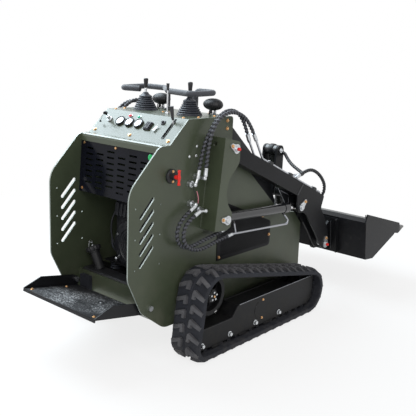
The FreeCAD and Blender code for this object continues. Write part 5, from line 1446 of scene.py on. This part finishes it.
class LOADER_OT_engine_details(Step, bpy.types.Operator):
    """Dresses the engine: starter screen, cover bolts, air-cleaner ribs, oil cap, mounts and a lead"""
    bl_idname = "loader.engine_details"
    bl_label = "Engine details"

    def execute(self, context):
        piece = Piece()
        face = np.array([300.0, 0.0, 500.0])
        rings = [(136, -30), (139, -2), (136, 3), (128, 6), (96, 9), (92, 4), (40, 4), (36, 11), (20, 12),
                 (16, 9)]
        piece.turn(rings, face, BACK, 64)
        for a, b in ring_of(36):
            piece.plate([(42, -1.6), (90, -2.6), (90, 2.6), (42, 1.6)], face, (0, a, b), BACK, 3.5, 7.5)
        for r in (55.0, 68.0, 81.0):
            piece.tube((293.5, 0, 500) + ring_of(48, r, r) @ [LEFT, UP], 2.2, 6, loop=True)
        for a, b in ring_of(6, 118, 118, 0.4):
            bolt(piece, face + (-5.0, a, b), BACK, 11.0, 1)
        # Air cleaner: stepped lid and slanted ribs on its rear face.
        for y in range(-112, 113, 28):
            piece.plate([(-9, 646), (-1, 712), (3, 712), (-5, 646)], (300.0, y, 0), FORWARD, RIGHT, -5, 5)
        piece.plate([(-132, 0), (132, 0), (118, 44), (-118, 44)], (316.0, 0, 722), RIGHT, BACK, -60, 14)
        for y in (-96.0, 96.0):
            piece.turn([(9, 0), (9, 12), (7, 14), (3, 14.4)], (300.0, y, 748), BACK, 20, 2)
        piece.turn([(15, 0), (15, 10), (12, 13), (4, 14)], (340.0, 172, 470), LEFT, 20, 2)
        cable(piece, [(332, 160, 430), (318, 170, 450), (312, 176, 478), (314, 178, 505)], 4.0, 10, 2)
        lead = [(330, -150, 700), (312, -168, 650), (306, -178, 590), (312, -176, 520), (330, -168, 450)]
        cable(piece, lead, 4.5, 10, step=5.0)
        lead = [(330, 140, 690), (306, 160, 640), (300, 172, 570), (308, 170, 500), (330, 150, 440)]
        cable(piece, lead, 5.0, 10, step=5.0)
        t = np.linspace(0, 1, 13)
        mount = np.stack([28 + 3.4 * np.cos(6 * np.pi * t), 347 + 40 * t], 1)
        for y in (-150.0, 150.0):
            piece.turn(mount, (322.0, y, 0), UP, 28, 2)
            bolt(piece, (322.0, y, 396.0), UP, 17.0, 1)
        piece.make("engine_dress", "chassis", "engine zinc boot", "engine_casting", 35.0)
        return {"FINISHED"}


class LOADER_OT_filler_details(Step, bpy.types.Operator):
    """Adds the fuel cap's grips, its key and the chain"""
    bl_idname = "loader.filler_details"
    bl_label = "Fuel cap"

    def execute(self, context):
        piece = Piece()
        foot, top = np.array([246.0, 192, 344]), np.array([238.0, 234, 440])
        way = unit(top - foot)
        # Cap: a turned profile; round it the grips swell and shrink the radius by 3%, fading on top.
        profile = np.array([(38.4, -1), (39.4, 1), (39.4, 18), (37, 22.5), (24, 24), (14, 26), (3, 26.4)])
        sides = 48
        wave = 0.03 * np.sign(np.sin(np.arange(sides) / sides * TURN * 16))
        fade = np.array([1, 1, 1, 0.5, 0, 0, 0])[:, None]
        centre = (top + way * profile[:, 1:])[:, None]
        cap = turned(profile, top, way, sides)
        piece.skin(centre + (cap - centre) * (1 + wave * fade)[..., None])
        piece.turn([(29, -12), (31, -10), (31, -2), (29, 0)], top, way, 32)
        lock = top + way * 26
        piece.turn([(9, -1), (9, 3), (7.5, 4), (3, 4.2)], lock, way, 24, 1)
        u = unit(np.cross(way, FORWARD))
        piece.plate(rect(-2.6, 2.6, 0, 12), lock + way * 3, u, np.cross(u, way), -0.9, 0.9, 1)
        piece.plate(ring_of(16, 9, 8) + (0, 17), lock + way * 3, u, np.cross(u, way), -1.4, 1.4, 1)
        ring = lock + way * 24 - FORWARD * 4
        piece.tube(ring + ring_of(24, 8, 8) @ [FORWARD, way], 1.0, 6, 1, loop=True)
        # Chain: links are ovals of 2.4 by 3.9 mm, turned by a quarter from one to the next.
        for k in range(13):
            centre = ring - FORWARD * 8 + (-1.6 * k + 0.02 * k * k, -0.7 * k, -5.2 * k + 0.06 * k * k)
            side = FORWARD if k % 2 else LEFT
            piece.tube(centre + ring_of(10, 2.4, 3.9) @ [side, UP], 0.8, 5, 1, loop=True)
        piece.make("fuel_cap", "chassis", "plastic zinc", "black_plastic", 35.0)
        return {"FINISHED"}


class LOADER_OT_platform_details(Step, bpy.types.Operator):
    """Adds the platform's screws and the bumper's mounting"""
    bl_idname = "loader.platform_details"
    bl_label = "Platform details"

    def execute(self, context):
        piece, stop = Piece(), Piece()
        slope = math.radians(10.4)
        up = np.array([math.sin(slope), 0, math.cos(slope)])

        def on_floor(x, y):
            return np.array([x, y, 289 - 36 - (x - 146) * math.tan(slope) + 5 / math.cos(slope)])

        for x in (-150.0, 60.0):
            for y in (240.0, -240.0):
                bolt(piece, on_floor(x, y), up, 13.0, 0)
        for x, y in ((-30, 150), (40, -60)):
            bolt(piece, on_floor(x, y), up, 9.0, 1, True, 3.0)
        piece.make("platform_screws", "platform", "bolt zinc", "zinc_plated_steel")
        for z in (252.0, 308.0):
            stop.turn([(9, -0.2), (9, 0.4), (6, 0.5), (5.6, -4), (2, -4.2)], (155.0, 215, z), BACK, 20)
        stop.make("bumper_sleeves", "chassis", "rubber", "black_rubber")
        return {"FINISHED"}


STEPS = [LOADER_OT_stage, LOADER_OT_hoses, LOADER_OT_finishes, LOADER_OT_tracks, LOADER_OT_joysticks,
         LOADER_OT_handles, LOADER_OT_instruments, LOADER_OT_lamps, LOADER_OT_fasteners, LOADER_OT_pins,
         LOADER_OT_stiffeners, LOADER_OT_lines, LOADER_OT_tie_and_isolator, LOADER_OT_running_gear,
         LOADER_OT_welds, LOADER_OT_engine_details, LOADER_OT_filler_details, LOADER_OT_platform_details]


class LOADER_PT_panel(bpy.types.Panel):
    """Lists the loader's sizes, colours and steps"""
    bl_idname = "LOADER_PT_panel"
    bl_label = "Track loader"
    bl_space_type = "VIEW_3D"
    bl_region_type = "UI"
    bl_category = "Loader"

    def draw(self, context):
        for group in (context.scene.loader_colours, context.scene.loader_sizes, context.scene.loader_stage):
            box = self.layout.box()
            for name in group.__annotations__:
                box.prop(group, name)
        for step in STEPS:
            self.layout.operator(step.bl_idname)


GROUPS = {"loader_colours": LoaderColours, "loader_sizes": LoaderSizes, "loader_stage": LoaderStage}


def register():
    for name, group in GROUPS.items():
        bpy.utils.register_class(group)
        setattr(bpy.types.Scene, name, PointerProperty(type=group))
    for step in STEPS:
        bpy.utils.register_class(step)
    bpy.utils.register_class(LOADER_PT_panel)


def unregister():
    bpy.utils.unregister_class(LOADER_PT_panel)
    for step in reversed(STEPS):
        bpy.utils.unregister_class(step)
    for name, group in GROUPS.items():
        delattr(bpy.types.Scene, name)
        bpy.utils.unregister_class(group)


def main():
    register()
    bpy.context.scene.view_settings.view_transform = "Standard"
    for step in STEPS:
        family, name = step.bl_idname.split(".")
        getattr(getattr(bpy.ops, family), name)()


if __name__ == "__main__":
    main()
